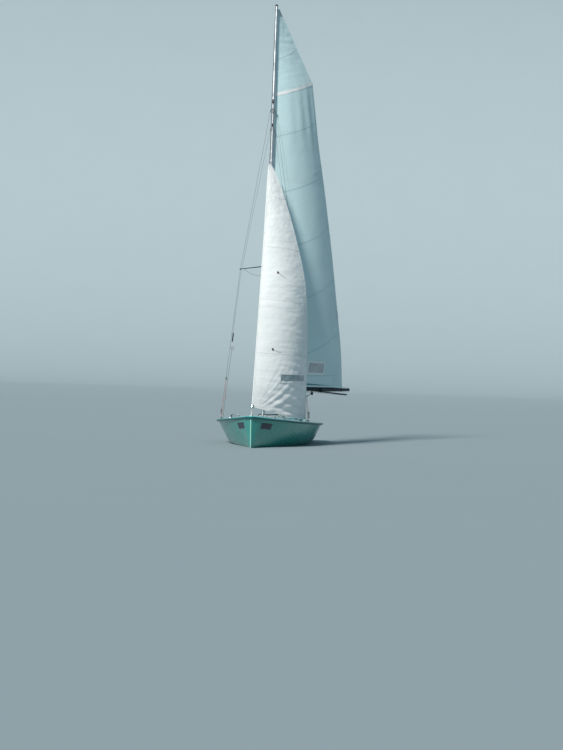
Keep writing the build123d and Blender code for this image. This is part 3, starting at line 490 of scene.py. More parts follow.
def make_materials(scene):
    """All finishes by the name that the operators use."""
    cloth, hull, rig = scene.dinghy_cloth, scene.dinghy_hull, scene.dinghy_rig
    navy = (0.012, 0.022, 0.085)
    white = (0.8, 0.8, 0.78)
    black = (0.018, 0.018, 0.02)
    return {
        "cloth": sailcloth("Sailcloth", cloth.cloth, cloth.panel),
        "tape": tape("Seam_tape", shade(cloth.cloth, 0.95), shade(cloth.cloth, 0.76)),
        # The mainsail's tapes, edges and corner patches take the painted shade tint of the mainsail's cloth
        "main_tape": tape("Mainsail_seam_tape", shade(cloth.main, 0.88), shade(cloth.main, 0.55)),
        "edge": tape("Edge_tape", shade(cloth.cloth, 1.05), shade(cloth.cloth, 0.6)),
        "batten": tape("Batten_pocket", shade(cloth.cloth, 1.14), shade(cloth.cloth, 0.8)),
        "main_shade_tinted_cloth": sailcloth("Mainsail_cloth_painted_shade", cloth.main, cloth.panel),
        "main_edge": tape("Mainsail_edge_tape", shade(cloth.main, 1.08), shade(cloth.main, 0.75)),
        "main_patch": sailcloth("Mainsail_corner_patch", shade(cloth.main, 0.95), cloth.panel),
        "painted_foot_shade": sailcloth("Foot_painted_shade_cloth", cloth.painted_foot_shade, cloth.panel),
        "patch": sailcloth("Corner_patch", shade(cloth.cloth, 0.93), cloth.panel),
        "pane": clear_pane("Clear_vinyl", cloth.window),
        "topsides": gelcoat("Topsides_gelcoat", hull.topsides),
        "deck": gelcoat("Deck_gelcoat", hull.deck, 0.25),
        "liner": gelcoat("Case_gelcoat", shade(hull.deck, 0.9), 0.25),
        "rim": moulded("Strake_rubber", hull.rim, 0.35),
        "plate": moulded("Navy_plate", hull.plate, 0.3),
        "foil": gelcoat("Foil_gelcoat", white),
        "alloy": metal("Spar_alloy", rig.alloy, 0.34),
        # Darkened alloy: painted shade on the boom and the pole, shared by the spreaders and the tiller extension
        "dark_alloy": metal("Dark_alloy_painted_shade", rig.boom, 0.38, (1, 1, 1), 0.55),
        # Pale mint: painted highlight for the glint on the stem's gelcoat
        "highlight_mint": gelcoat("Stem_painted_highlight", (0.42, 0.66, 0.58)),
        "steel": metal("Polished_steel", (0.62, 0.61, 0.59), 0.2),
        "wire": metal("Stay_wire", (0.2, 0.21, 0.22), 0.35, (1, 1, 0.3), 0.9),
        "black": moulded("Black_fitting", black, 0.42),
        "white": moulded("White_fitting", white, 0.35),
        "grip": moulded("Grip_rubber", (0.025, 0.025, 0.028), 0.75),
        "cover": moulded("Mast_boot", (0.02, 0.1, 0.11), 0.6),
        "strap": webbing("Toe_strap_webbing", (0.02, 0.028, 0.06)),
        "sheet": rope("Sheet_rope", (0.7, 0.7, 0.66), navy),
        "dark_rope": rope("Dark_rope", (0.03, 0.04, 0.06), (0.25, 0.27, 0.3)),
        "red_rope": rope("Red_rope", (0.62, 0.18, 0.13), (0.75, 0.7, 0.66), 0.009),
        "blue_rope": rope("Blue_rope", (0.035, 0.1, 0.36), (0.6, 0.62, 0.66), 0.009),
        "halyard": rope("Halyard_rope", (0.66, 0.66, 0.63), (0.3, 0.05, 0.05), 0.01),
        "tell_tale": webbing("Tell_tale", (0.05, 0.02, 0.03)),
        "white_thread": webbing("White_thread", (0.72, 0.72, 0.7)),
    }


# Modelling


class Shop:
    """Materials that the operators share while the dinghy is built."""
    finishes = {}


def clear():
    """Leaves nothing selected and object mode on."""
    if bpy.context.object and bpy.context.object.mode != "OBJECT":
        bpy.ops.object.mode_set(mode="OBJECT")
    bpy.ops.object.select_all(action="DESELECT")


def pick(*objects):
    """Selects these objects only, the first one active."""
    clear()
    for each in objects:
        each.select_set(True)
    bpy.context.view_layer.objects.active = objects[0]


def settle(*objects):
    """Puts each object's place into its mesh, so that it sits unturned at the origin."""
    pick(*objects)
    bpy.ops.object.transform_apply(location=True, rotation=True, scale=True)


def joined(name, objects):
    """One piece out of several."""
    settle(*objects)
    if len(objects) > 1:
        bpy.ops.object.join()
    return named(name, bpy.context.view_layer.objects.active)


def modify(piece, kind, **settings):
    """Adds a modifier and applies it."""
    pick(piece)
    modifier = piece.modifiers.new(kind.title(), kind)
    for key, value in settings.items():
        setattr(modifier, key, value)
    bpy.ops.object.modifier_apply(modifier=modifier.name)
    return piece


def named(name, piece):
    """Names a piece and its mesh."""
    piece.name = piece.data.name = name
    return piece


def finish(piece, finish_name, body="root", smooth=30):
    """Gives a piece its finish, its smooth faces and the body it moves with."""
    pick(piece)
    bpy.ops.object.shade_smooth_by_angle(angle=radians(smooth))
    piece.data.materials.clear()
    piece.data.materials.append(Shop.finishes[finish_name])
    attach(piece, body)
    return piece


def set_down(made, place, direction, about=0.0):
    """Turns a shape's +Z to a direction and moves it to its place."""
    clear()
    made.rotation_mode = "QUATERNION"
    made.rotation_quaternion = (Vector(direction).to_track_quat("Z", "Y")
                                @ Matrix.Rotation(about, 3, "Z").to_quaternion())
    made.location = place
    settle(made)
    return made


def outward():
    """Turns every face of the active mesh outward."""
    bpy.ops.object.mode_set(mode="EDIT")
    bpy.ops.mesh.select_all(action="SELECT")
    bpy.ops.mesh.normals_make_consistent(inside=False)
    bpy.ops.object.mode_set(mode="OBJECT")


def edit_faces(made, wanted):
    """Goes into edit mode with only the faces selected that pass a test."""
    bpy.ops.object.mode_set(mode="EDIT")
    bpy.ops.mesh.select_mode(type="FACE")
    bpy.ops.mesh.select_all(action="DESELECT")
    bpy.ops.object.mode_set(mode="OBJECT")
    for face in made.data.polygons:
        face.select = wanted(face)
    bpy.ops.object.mode_set(mode="EDIT")


def turned(profile, place, direction=UP, vertices=24):
    """Round piece: a circle extruded and resized through (height, radius) steps."""
    clear()
    height, radius = profile[0]
    bpy.ops.mesh.primitive_circle_add(vertices=vertices, radius=radius, fill_type="NGON", location=(0, 0, height))
    made = bpy.context.object
    bpy.ops.object.mode_set(mode="EDIT")
    bpy.ops.mesh.select_mode(type="EDGE")
    bpy.ops.mesh.select_all(action="SELECT")
    for step_height, step_radius in profile[1:]:
        bpy.ops.mesh.extrude_region_move(TRANSFORM_OT_translate={"value": (0, 0, step_height - height)})
        bpy.ops.transform.resize(value=(step_radius / radius, step_radius / radius, 1),
                                 center_override=(0, 0, step_height))
        height, radius = step_height, step_radius
    outward()
    return set_down(made, place, direction)


def block(size, place, bevel=0.002, direction=UP, about=0.0, taper=1.0, segments=2):
    """Cube resized, tapered towards its top and bevelled."""
    clear()
    bpy.ops.mesh.primitive_cube_add(size=1)
    made = bpy.context.object
    made.scale = size
    settle(made)
    edit_faces(made, lambda face: face.normal.z > 0.9)
    bpy.ops.transform.resize(value=(taper, taper, 1), center_override=(0, 0, size[2] / 2))
    bpy.ops.mesh.select_all(action="SELECT")
    bpy.ops.mesh.bevel(offset=bevel, segments=segments, affect="EDGES")
    return set_down(made, place, direction, about)


def tube(points, radius, order=3, sides=3, resolution=6, closed=False):
    """Rope or wire along a NURBS line through control points, as a mesh with a UV map in metres."""
    clear()
    curve = bpy.data.curves.new("line", "CURVE")
    curve.dimensions = "3D"
    curve.bevel_depth = radius
    curve.bevel_resolution = sides
    curve.resolution_u = resolution
    curve.use_fill_caps = not closed
    spline = curve.splines.new("NURBS")
    spline.points.add(len(points) - 1)
    for point, place in zip(spline.points, points):
        point.co = (*place, 1)
    spline.use_endpoint_u = not closed
    spline.use_cyclic_u = closed
    spline.order_u = min(order, len(points))
    made = bpy.data.objects.new("line", curve)
    bpy.context.scene.collection.objects.link(made)
    pick(made)
    bpy.ops.object.convert(target="MESH")
    made = bpy.context.object
    around = 2 * (sides + 2)
    vertices = made.data.vertices
    spots = [vertices[i].co for i in range(0, len(vertices) - around + 1, around)]
    reach = [0.0]
    for here, there in zip(spots, spots[1:]):
        reach.append(reach[-1] + (there - here).length)
    layer = made.data.uv_layers.new(name="UVMap")
    for loop in made.data.loops:
        step, spoke = divmod(loop.vertex_index, around)
        layer.data[loop.index].uv = (reach[min(step, len(spots) - 1)], spoke / around * 2 * pi * radius)
    return made


def slack(start, end, sag, radius):
    """Line hanging between two points."""
    parts = [i / 5 for i in range(6)]
    return tube([start.lerp(end, part) - UP * (sag * 4 * part * (1 - part)) for part in parts], radius)


def grid(columns, rows, place):
    """Grid primitive whose points are moved to place(u, v), with a UV map in metres."""
    clear()
    bpy.ops.mesh.primitive_grid_add(x_subdivisions=columns, y_subdivisions=rows, size=2)
    made = bpy.context.object
    shares = [(round((v.co.x + 1) / 2, 5), round((v.co.y + 1) / 2, 5)) for v in made.data.vertices]
    for vertex, share in zip(made.data.vertices, shares):
        vertex.co = place(*share)
    eighths = [(i / 8, (i + 1) / 8) for i in range(8)]
    length = sum((place(b, 0.5) - place(a, 0.5)).length for a, b in eighths)
    depth = sum((place(0.5, b) - place(0.5, a)).length for a, b in eighths)
    for loop in made.data.loops:
        u, v = shares[loop.vertex_index]
        made.data.uv_layers[0].data[loop.index].uv = (u * length, v * depth)
    return made


def layer_of(columns, rows, place, thickness):
    """Grid of cloth or sheet with a thickness."""
    return modify(grid(columns, rows, place), "SOLIDIFY", thickness=thickness, offset=0)


def sail_cloth(name, sail, columns, rows, finish_name):
    """Cloth of a sail: a grid over share and height, creased, with a hole for its window."""
    tall = sail.high - sail.low
    left, right, bottom, top = sail.window
    made = grid(columns, rows, lambda u, v: sail.cloth(u, sail.low + tall * v)[0])
    uv = [tuple(loop.uv) for loop in made.data.uv_layers[0].data]
    width, depth = max(u for u, v in uv), max(v for u, v in uv)

    def in_window(face):
        corners = face.loop_indices
        share = sum(uv[i][0] for i in corners) / len(corners) / width
        height = sail.low + tall * sum(uv[i][1] for i in corners) / len(corners) / depth
        return left < share < right and bottom < sail.place(share, height).z < top

    edit_faces(made, in_window)
    bpy.ops.mesh.delete(type="FACE")
    clear()
    modify(named(name, made), "SOLIDIFY", thickness=CLOTH_THICKNESS, offset=0)
    return finish(made, finish_name, sail.body, 60)


def strip(sail, run, width, lift):
    """Tape on a sail along a run of (share, z) ends, its UV map along and across it."""
    (share_0, z_0), (share_1, z_1) = run
    count = max(2, round((sail.point(share_1, z_1) - sail.point(share_0, z_0)).length / TAPE_STEP))
    line = []
    for index in range(count + 1):
        part = index / count
        here, normal = sail.spot(share_0 + (share_1 - share_0) * part, z_0 + (z_1 - z_0) * part)
        line.append((here + normal * lift, normal))

    def put(u, v):
        index = round(u * count)
        here, normal = line[index]
        along = line[min(index + 1, count)][0] - line[max(index - 1, 0)][0]
        return here + normal.cross(along).normalized() * (width * (v - 0.5))

    made = grid(count, 1, put)
    for loop in made.data.uv_layers[0].data:
        loop.uv.y = round(loop.uv.y / width)
    return modify(made, "SOLIDIFY", thickness=TAPE_THICKNESS, offset=0)


def tapes(name, sail, runs, width, finish_name, lift=0.0016):
    """Tapes sewn on both faces of a sail."""
    strips = [strip(sail, run, width, side * lift) for run in runs for side in (1, -1)]
    return finish(joined(name, strips), finish_name, sail.body, 40)


def corner_patches(name, sail, corners, finish_name):
    """Layers of cloth that strengthen the corners of a sail, sewn on both faces."""
    layers = []
    for share, z, way_s, way_z, reach_s, reach_z in corners:
        for size, lift in ((1.0, 0.0022), (0.62, 0.003), (1.0, -0.0022), (0.62, -0.003)):
            def put(u, v):
                turn = u * pi / 2
                spot, normal = sail.spot(share + way_s * reach_s * size * v * cos(turn),
                                         z + way_z * reach_z * size * v * sin(turn))
                return spot + normal * lift

            layers.append(layer_of(30, 26, put, 0.0005))
    return finish(joined(name, layers), finish_name, sail.body, 40)


def windowed(name, sail, columns):
    """Clear pane of a sail and the tape round it."""
    left, right, bottom, top = sail.window
    low, high, under, over = left - 0.012, right + 0.012, bottom - 0.014, top + 0.014

    def put(u, v):
        return sail.spot(low + (right - left + 0.024) * u, under + (top - bottom + 0.028) * v)[0]

    pane = named(name, finish(layer_of(columns, 10, put, 0.0008), "pane", sail.body, 60))
    runs = [((low, bottom), (high, bottom)), ((low, top), (high, top)),
            ((left, under), (left, over)), ((right, under), (right, over))]
    return [pane, tapes(name + "_border", sail, runs, 0.036, "edge", 0.003)]


# Operators: one for each piece or group of like pieces


class DINGHY_OT_finishes(bpy.types.Operator):
    """Give every part of the frame its finish"""
    bl_idname = "dinghy.finishes"
    bl_label = "Frame finishes"

    groups = {
        "topsides": ["hull_shell"],
        "deck": ["deck_moulding", "transom", "thwart"],
        "liner": ["centreboard_case"],
        "rim": ["gunwale_strakes"],
        "plate": ["bow_plate_port", "bow_plate_starboard"],
        "foil": ["centreboard", "rudder_blade"],
        "alloy": ["mast", "rudder_stock", "tiller"],
        # The dark alloy is painted shade on the boom and the pole
        "dark_alloy": ["boom", "spinnaker_pole", "tiller_extension", "spreaders"],
        "steel": ["centreboard_pin", "chainplates", "stem_fitting", "gooseneck", "rudder_gudgeons",
                  "rudder_pintles", "blade_pin", "hounds_fitting", "mast_step", "spreader_bracket"],
        "wire": ["shroud_port", "shroud_starboard", "forestay"],
        "black": ["masthead", "boom_blocks", "boom_end", "boom_gooseneck", "pole_ends", "pole_brackets",
                  "jib_fairleads", "mainsheet_base", "mast_collar", "extension_joint", "tiller_swivel"],
        "white": ["transom_flaps", "inspection_covers"],
        "strap": ["toe_straps"],
    }

    def execute(self, context):
        Shop.finishes = make_materials(context.scene)
        for finish_name, nodes in self.groups.items():
            for node in nodes:
                piece = frame["nodes"][node]
                piece.data.materials.clear()
                piece.data.materials.append(Shop.finishes[finish_name])
        return {"FINISHED"}


def jib_ripple(share, height):
    """Creases across the jib and folds that fan out from its tack."""
    settings = bpy.context.scene.dinghy_cloth
    edge = min(1, 14 * share, 10 * (1 - share)) * min(1, 12 * (JIB_HIGH - height) / JIB_HIGH)
    crease = noise.fractal(at(share * 3.0, height * 11.0, 3.1), 0.8, 2.0, 5)
    long_crease = noise.noise(at(share * 1.3 + 4, height * 4.5, 8.7))
    depth = settings.crease * (crease + 0.9 * long_crease)
    low = height - JIB_LOW
    fan = atan2(low + 0.1, share * 1.9 + 0.06)
    near = exp(-((low / 0.5) ** 2)) * min(1, 6 * share) * (0.35 + 0.65 * share)
    wander = 4.0 * noise.noise(at(share * 2.5, low * 4, 1.7))
    folds = (0.4 * sin(54 * fan + wander) + 0.45 * sin(27 * fan - wander)) * near * min(1, 4 * share)
    foot = sin(2 * pi * (low / 0.115 + 0.5 * share ** 2)) * exp(-low / 0.32) * share * (1 - 0.6 * share)
    return edge * (depth + settings.fold * (0.75 * folds + 1.7 * foot))


def main_ripple(share, height):
    """Slight unevenness of the mainsail, with pleats up by its head and creases under its top batten."""
    edge = min(1, 20 * share, 14 * (1 - share))
    soft = 0.003 * noise.fractal(at(share * 2.4, height * 3.0, 9.4), 0.8, 2.0, 3)
    top = max(0, min(1, (height - 5.9) / 0.5))
    pleat = 0.0055 * top * noise.noise(at(share * 2.0, height * 17.0, 2.2))
    along = 0.008 * exp(-((height - 5.45) / 0.45) ** 2) * sin(2 * pi * share * 4.2 + 1.0) * share
    return edge * (soft + pleat + along)


JIB = Sail(jib_point, jib_ripple, JIB_ROWS, (0.296, 0.862, 1.062, 1.198), "root")
MAIN = Sail(main_point, main_ripple, MAIN_ROWS, (0.438, 0.664, 1.214, 1.412), "boom")


def stay_point(part):
    """Point of the forestay's middle line, inside the jib's sleeve."""
    return STAY_FOOT.lerp(STAY_HEAD, part) + at(0, 0.0035)


class DINGHY_OT_jib(bpy.types.Operator):
    """Jib of woven cloth with its window, seams, tapes and corner patches"""
    bl_idname = "dinghy.jib"
    bl_label = "Jib"

    def execute(self, context):
        cloth = sail_cloth("jib_cloth", JIB, 104, 250, "cloth")
        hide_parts("jib")
        hems = [((0.01, 0.67), (0.01, 4.55)), *leech_runs(JIB, 0.47, 4.55, 0.016, 12)]
        rim = [(i / 24, jib_point(i / 24, JIB.low).z + 0.012) for i in range(25)]
        pieces = [
            *windowed("jib_window", JIB, 56),
            tapes("jib_seams", JIB, [((0.0, z), (1.0, z - 0.03)) for z in (1.52, 2.39, 3.26, 4.1)], 0.018, "tape"),
            tapes("jib_hems", JIB, hems, 0.028, "edge"),
            tapes("jib_foot_hem", JIB, list(zip(rim, rim[1:])), 0.022, "edge"),
            corner_patches("jib_corner_patches", JIB, [
                (0.0, 0.655, 1, 1, 0.2, 0.36), (1.0, 0.455, -1, 1, 0.22, 0.4), (0.0, 4.64, 1, -1, 0.9, 0.34),
            ], "patch"),
        ]
        sleeve = tube([stay_point(part) for part in (0.012, 0.4, 0.817)], 0.0062, 2, 3, 2)
        hanks = [turned([(-0.014, 0.0075), (-0.011, 0.0092), (0.011, 0.0092), (0.014, 0.0075)], stay_point(part),
                        STAY_HEAD - STAY_FOOT, 12) for part in (0.1, 0.22, 0.34, 0.46, 0.58, 0.7, 0.8)]
        single("jib_luff_sleeve", [sleeve, *hanks], "patch")
        threads = []
        for start, end in (((0.273, 2.835), (0.428, 2.755)), ((0.185, 1.58), (0.302, 1.54))):
            for side in (1, -1):
                points = []
                for part in (0.0, 0.25, 0.5, 0.75, 1.0):
                    arch = sin(pi * part)
                    spot, normal = JIB.spot(start[0] + (end[0] - start[0]) * part,
                                            start[1] + (end[1] - start[1]) * part - 0.01 * arch)
                    points.append(spot + normal * side * (0.003 + 0.006 * arch))
                threads.append(tube(points, 0.0016, 3, 1, 5))
                dot, normal = JIB.spot(*start)
                threads.append(turned([(0, 0.021), (0.0006, 0.02)], dot + normal * side * 0.004, normal * side, 20))
        single("jib_tell_tales", threads, "tell_tale")
        return {"FINISHED"}


def leech_runs(sail, low, high, inset, count):
    """Runs of a tape that stays inset metres in from a leech between two heights."""
    spots = []
    for step in range(count + 1):
        z = low + (high - low) * step / count
        spots.append((1 - inset / (sail.point(1, z) - sail.point(0, z)).length, z))
    return list(zip(spots, spots[1:]))


def seam(z):
    """Seam of the mainsail that meets the luff at z, square to the leech."""
    height = MAIN.level(0, z)
    return (0.0, z), (1.0, z + 0.29 * (main_point(1, height) - main_point(0, height)).length)


def foot_shelf():
    """Panel of light cloth that closes the gap between the boom and the mainsail's foot, coloured dark as painted
    shade.
    """
    def put(u, v):
        share = 0.03 + 0.95 * u
        edge = main_point(share, MAIN.low)
        rail = boom_point(share * 2.45, 0.004)
        rail.z = edge.z
        return rail.lerp(edge, v) - UP * (0.0006 - 0.01 * sin(pi * v) * sin(pi * u))

    return finish(named("mainsail_foot_shelf", layer_of(60, 8, put, 0.0008)), "painted_foot_shade", "boom", 60)


def foot_painted_shade():
    """Dark sheet on the mainsail just above its foot, on both faces: painted shade where the foot is in shade."""
    sheets = []
    for lift in (0.003, -0.003):
        def put(u, v):
            spot, normal = MAIN.spot(0.02 + 0.95 * u, MAIN.low + 0.003 + v * (0.016 + 0.075 * (1 - u)))
            return spot + normal * lift

        sheets.append(layer_of(88, 8, put, 0.0004))
    return finish(joined("mainsail_foot_painted_shade", sheets), "painted_foot_shade", "boom", 60)


class DINGHY_OT_mainsail(bpy.types.Operator):
    """Mainsail with its seams, battens, window, headboard and tapes"""
    bl_idname = "dinghy.mainsail"
    bl_label = "Mainsail"

    def execute(self, context):
        cloth = sail_cloth("mainsail_cloth", MAIN, 88, 280, "main_shade_tinted_cloth")
        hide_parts("mainsail")
        seams = [*[seam(z) for z in (1.26, 2.23, 3.195, 4.162, 5.126)],
                 ((0.0, 1.15), (1.0, 1.2)), ((0.0, 6.42), (0.93, 6.66))]
        hems = [((0.006, 1.0), (0.006, 7.25)), ((0.988, 1.0), (0.988, 6.14)), ((0.985, 6.155), (0.96, 7.13))]
        foot = [((0.012, MAIN.low + 0.016), (1.0, MAIN.low + 0.016))]
        pockets = [((0.76, 2.06), (0.995, 2.4)), ((0.72, 3.42), (0.995, 3.6)), ((0.66, 4.62), (0.995, 4.78))]
        pieces = [
            *windowed("mainsail_window", MAIN, 32),
            tapes("mainsail_seams", MAIN, seams, 0.018, "main_tape"),
            tapes("mainsail_hems", MAIN, hems, 0.03, "main_edge"),
            tapes("mainsail_foot_hem", MAIN, foot, 0.028, "main_edge", 0.0042),
            tapes("mainsail_top_batten", MAIN, [((0.0, 5.835), (1.0, 6.155))], 0.054, "batten", 0.0034),
            tapes("mainsail_batten_pockets", MAIN, pockets, 0.042, "main_edge", 0.0034),
            corner_patches("mainsail_corner_patches", MAIN, [
                (0.0, 0.99, 1, 1, 0.15, 0.4), (1.0, 0.99, -1, 1, 0.16, 0.44), (0.0, 7.262, 1, -1, 0.95, 0.42),
            ], "main_patch"),
            # The foot shelf and the strip above the foot carry painted shade
            foot_shelf(),
            foot_painted_shade(),
        ]
        sheets = []
        for side in (1, -1):
            def put(u, v):
                spot, normal = MAIN.cloth(0.02 + 0.95 * u, 7.14 + 0.122 * v)
                return spot + normal * side * 0.0032

            sheets.append(layer_of(4, 4, put, 0.0025))
            for place in ((0.2, 7.165), (0.75, 7.165), (0.35, 7.205), (0.3, 7.245)):
                spot, normal = MAIN.spot(*place)
                sheets.append(turned([(0, 0.004), (0.002, 0.004), (0.003, 0.002)], spot + normal * side * 0.0042,
                                     normal * side, 10))
        single("headboard", sheets, "alloy", "boom")
        spots = [MAIN.spot(0.992, z) for z in (6.152, 2.396, 3.598, 4.778)]
        ends = [block((0.03, 0.046, 0.012), spot, 0.004, normal) for spot, normal in spots]
        single("batten_ends", ends, "white", "boom")
        spot = MAIN.point(0.978, 2.34)
        ribbon = [spot, spot + BOOM_LINE * 0.02 - UP * 0.03, spot + BOOM_LINE * 0.042 - UP * 0.09,
                  MAIN.point(0.999, 2.19)]
        single("leech_ribbon", [tube(ribbon, 0.0035, 3, 1)], "tell_tale", "boom")
        luff = layer_of(2, 80, lambda u, v: hinge_line(0.992 + 6.27 * v) - at(0, 0.0275 * (1 - u)), CLOTH_THICKNESS)
        core = tube([hinge_line(0.992), hinge_line(4.0), hinge_line(7.262)], 0.0034, 2, 3, 2)
        single("mainsail_luff_rope", [luff, core], "patch")
        return {"FINISHED"}


# Small shapes that several fittings share


def ring(place, radius, thickness, direction=UP):
    """Round ring of wire."""
    clear()
    bpy.ops.mesh.primitive_torus_add(major_radius=radius, minor_radius=thickness, major_segments=24, minor_segments=8)
    return set_down(bpy.context.object, place, direction)


def stud(place, direction, radius=0.005, height=0.003):
    """Domed head of a rivet or bolt."""
    return turned([(0, radius), (height * 0.5, radius), (height, radius * 0.55)], place, direction, 12)


def screws(places, direction, radius=0.004):
    """Screw heads at places, all facing one way."""
    return [stud(place, direction, radius, 0.0022) for place in places]


def four_corners(place, across, along):
    """Corners of a rectangle round a place, from its two half sides."""
    return [place + a + b for a in (-across, across) for b in (-along, along)]


def eye(place, base, radius, thickness):
    """Eye of wire on a round foot."""
    foot = turned([(0, base), (0.003, base), (0.005, 0.006)], place - UP * 0.012, UP, 16)
    return [foot, ring(place, radius, thickness, AFT)]


def boom_loop(reach, half_width, half_height, lift, radius):
    """Cord or strap round the boom."""
    turns = [pi * step / 8 for step in range(16)]
    loop = [boom_point(reach, half_width * cos(turn), half_height * sin(turn) + lift) for turn in turns]
    return tube(loop, radius, 3, 2, 3, True)


def pulley(place, axle, hang, radius=0.018, width=0.012):
    """Sheave on its pin between two rounded cheeks, with a strap towards hang."""
    place, hang = Vector(place), Vector(hang).normalized()
    half = width / 2
    wheel = turned([(-half, radius), (-half * 0.35, radius * 0.8), (half * 0.35, radius * 0.8), (half, radius)],
                   place, axle, 20)
    parts = [wheel]
    for side in (-1, 1):
        parts.append(block((radius * 1.5, radius * 2.5, 0.0025), place + Vector(axle) * side * (half + 0.002)
                           + hang * radius * 0.35, radius * 0.3, direction=axle))
    parts.append(turned([(-half - 0.005, 0.004), (half + 0.005, 0.004)], place, axle, 10))
    parts.append(ring(place + hang * radius * 1.75, radius * 0.35, 0.002, axle))
    return parts


def cam_cleat(place, heading):
    """Two cams on a base with a loop of wire behind them; the rope runs along heading."""
    place, heading = Vector(place), Vector(heading).normalized()
    side = heading.cross(UP).normalized()
    parts = [block((0.028, 0.052, 0.008), place + UP * 0.004, about=atan2(-heading.x, heading.y))]
    for way in (-1, 1):
        parts.append(turned([(0, 0.011), (0.004, 0.012), (0.012, 0.012), (0.016, 0.008)],
                            place + side * way * 0.015 + UP * 0.008, UP, 10))
    parts.append(ring(place + heading * 0.02 + UP * 0.02, 0.012, 0.0018, heading))
    return parts


def horn_cleat(place, out, along):
    """Cleat with two horns standing off its foot."""
    place, out, along = Vector(place), Vector(out).normalized(), Vector(along).normalized()
    foot = block((0.016, 0.03, 0.012), place + out * 0.006, 0.003, direction=out)
    horns = tube([place + out * 0.012 - along * 0.045 + out * 0.01, place + out * 0.014 - along * 0.02,
                  place + out * 0.014 + along * 0.02, place + out * 0.022 + along * 0.045], 0.0055, 3, 3, 6)
    return [foot, horns]


def mirrored(piece):
    """Copy of a piece on the other side of the centreline."""
    pick(piece)
    bpy.ops.object.duplicate()
    made = bpy.context.object
    made.scale = (-1, 1, 1)
    settle(made)
    outward()
    return made


def paired(name, parts, finish_name, body="root", smooth=30):
    """One piece of parts and of their copies on the other side."""
    first = joined(name, parts)
    return finish(joined(name, [first, mirrored(first)]), finish_name, body, smooth)


def single(name, parts, finish_name, body="root"):
    """One piece of parts."""
    return finish(joined(name, parts), finish_name, body)


SHROUD_FOOT = at(0.74, -0.45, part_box("shroud_port")[0].z)
SPREADER_END = at(0.462, -0.663, 2.918)


class DINGHY_OT_bow(bpy.types.Operator):
    """Strake round the bow, a pale strip and cap of painted highlight on the stem, and the jib's tack gear"""
    bl_idname = "dinghy.bow"
    bl_label = "Bow"

    def execute(self, context):
        strakes = frame["nodes"]["gunwale_strakes"].data.vertices
        front = min(v.co.y for v in strakes)
        ends = [v.co for v in strakes if v.co.y < front + 0.002 and v.co.x > 0]
        out, top = max(co.x for co in ends), max(co.z for co in ends)
        nose_y, nose_z, nose = -2.425, 0.4966, 0.0455
        line = [at(out, front, top), at(0.5 * (out + nose) + 0.004, 0.5 * (front + nose_y), 0.5 * (top + nose_z))]
        for step in range(7):
            turn = pi * step / 6
            line.append(at(nose * cos(turn), nose_y - nose * sin(turn), nose_z))
        line += [at(-co.x, co.y, co.z) for co in (line[1], line[0])]

        def put(u, v):
            place = min(u * (len(line) - 1), len(line) - 1.0001)
            index = int(place)
            here = line[index].lerp(line[index + 1], place - index)
            return here - UP * 0.026 * v
        strake = modify(grid(48, 2, put), "SOLIDIFY", thickness=0.016, offset=-1)
        pick(strake)
        outward()
        single("bow_strake", [strake], "rim")
        # Pale mint strip up the stem and pale cap on its top: painted highlight of the gelcoat's glint
        band = [at(0, -2.3775 - 0.1333 * z, z) for z in (0.0, 0.15, 0.3, 0.46)]
        single("stem_painted_highlight", [tube(band, 0.0065, 2, 3, 4)], "highlight_mint")
        cap = block((0.052, 0.06, 0.016), (0, -2.432, 0.514), 0.007, taper=0.72, segments=3)
        single("bow_painted_highlight_cap", [cap], "highlight_mint")
        base = at(0, -2.345, 0.518)
        up = (STAY_HEAD - STAY_FOOT).normalized()
        drum = turned([(-0.046, 0.01), (-0.044, 0.03), (-0.038, 0.03), (-0.036, 0.018), (-0.01, 0.018),
                       (-0.008, 0.03), (-0.002, 0.03), (0.002, 0.014), (0.02, 0.01)], STAY_FOOT + up * 0.022, up, 28)
        single("furling_drum", [drum], "alloy")
        studs = [stud((side * 0.0042, base.y + y, base.z + z), PORT * side, 0.006, 0.004)
                 for side in (-1, 1) for y, z in ((-0.018, 0.018), (0.018, 0.018))]
        studs += [stud(place, UP, 0.0045) for place in four_corners(base + UP * 0.004, at(0.016), at(0, 0.021))]
        single("stem_fitting_bolts", studs, "steel")
        tack = jib_point(0.012, JIB_LOW + 0.012)
        shackle = [ring(tack, 0.01, 0.0022, PORT), ring(tack - UP * 0.012, 0.008, 0.002, AFT)]
        single("tack_shackle", shackle, "steel")
        eyes = []
        for x, y in ((0.3, -1.62), (0.42, -1.2)):
            z = deck_top(x, y)
            eyes.append(turned([(0, 0.014), (0.003, 0.014), (0.005, 0.008), (0.016, 0.006)], (x, y, z), UP, 16))
            eyes.append(ring((x, y, z + 0.024), 0.011, 0.0022, AFT))
        paired("deck_eyes", eyes, "steel")
        return {"FINISHED"}


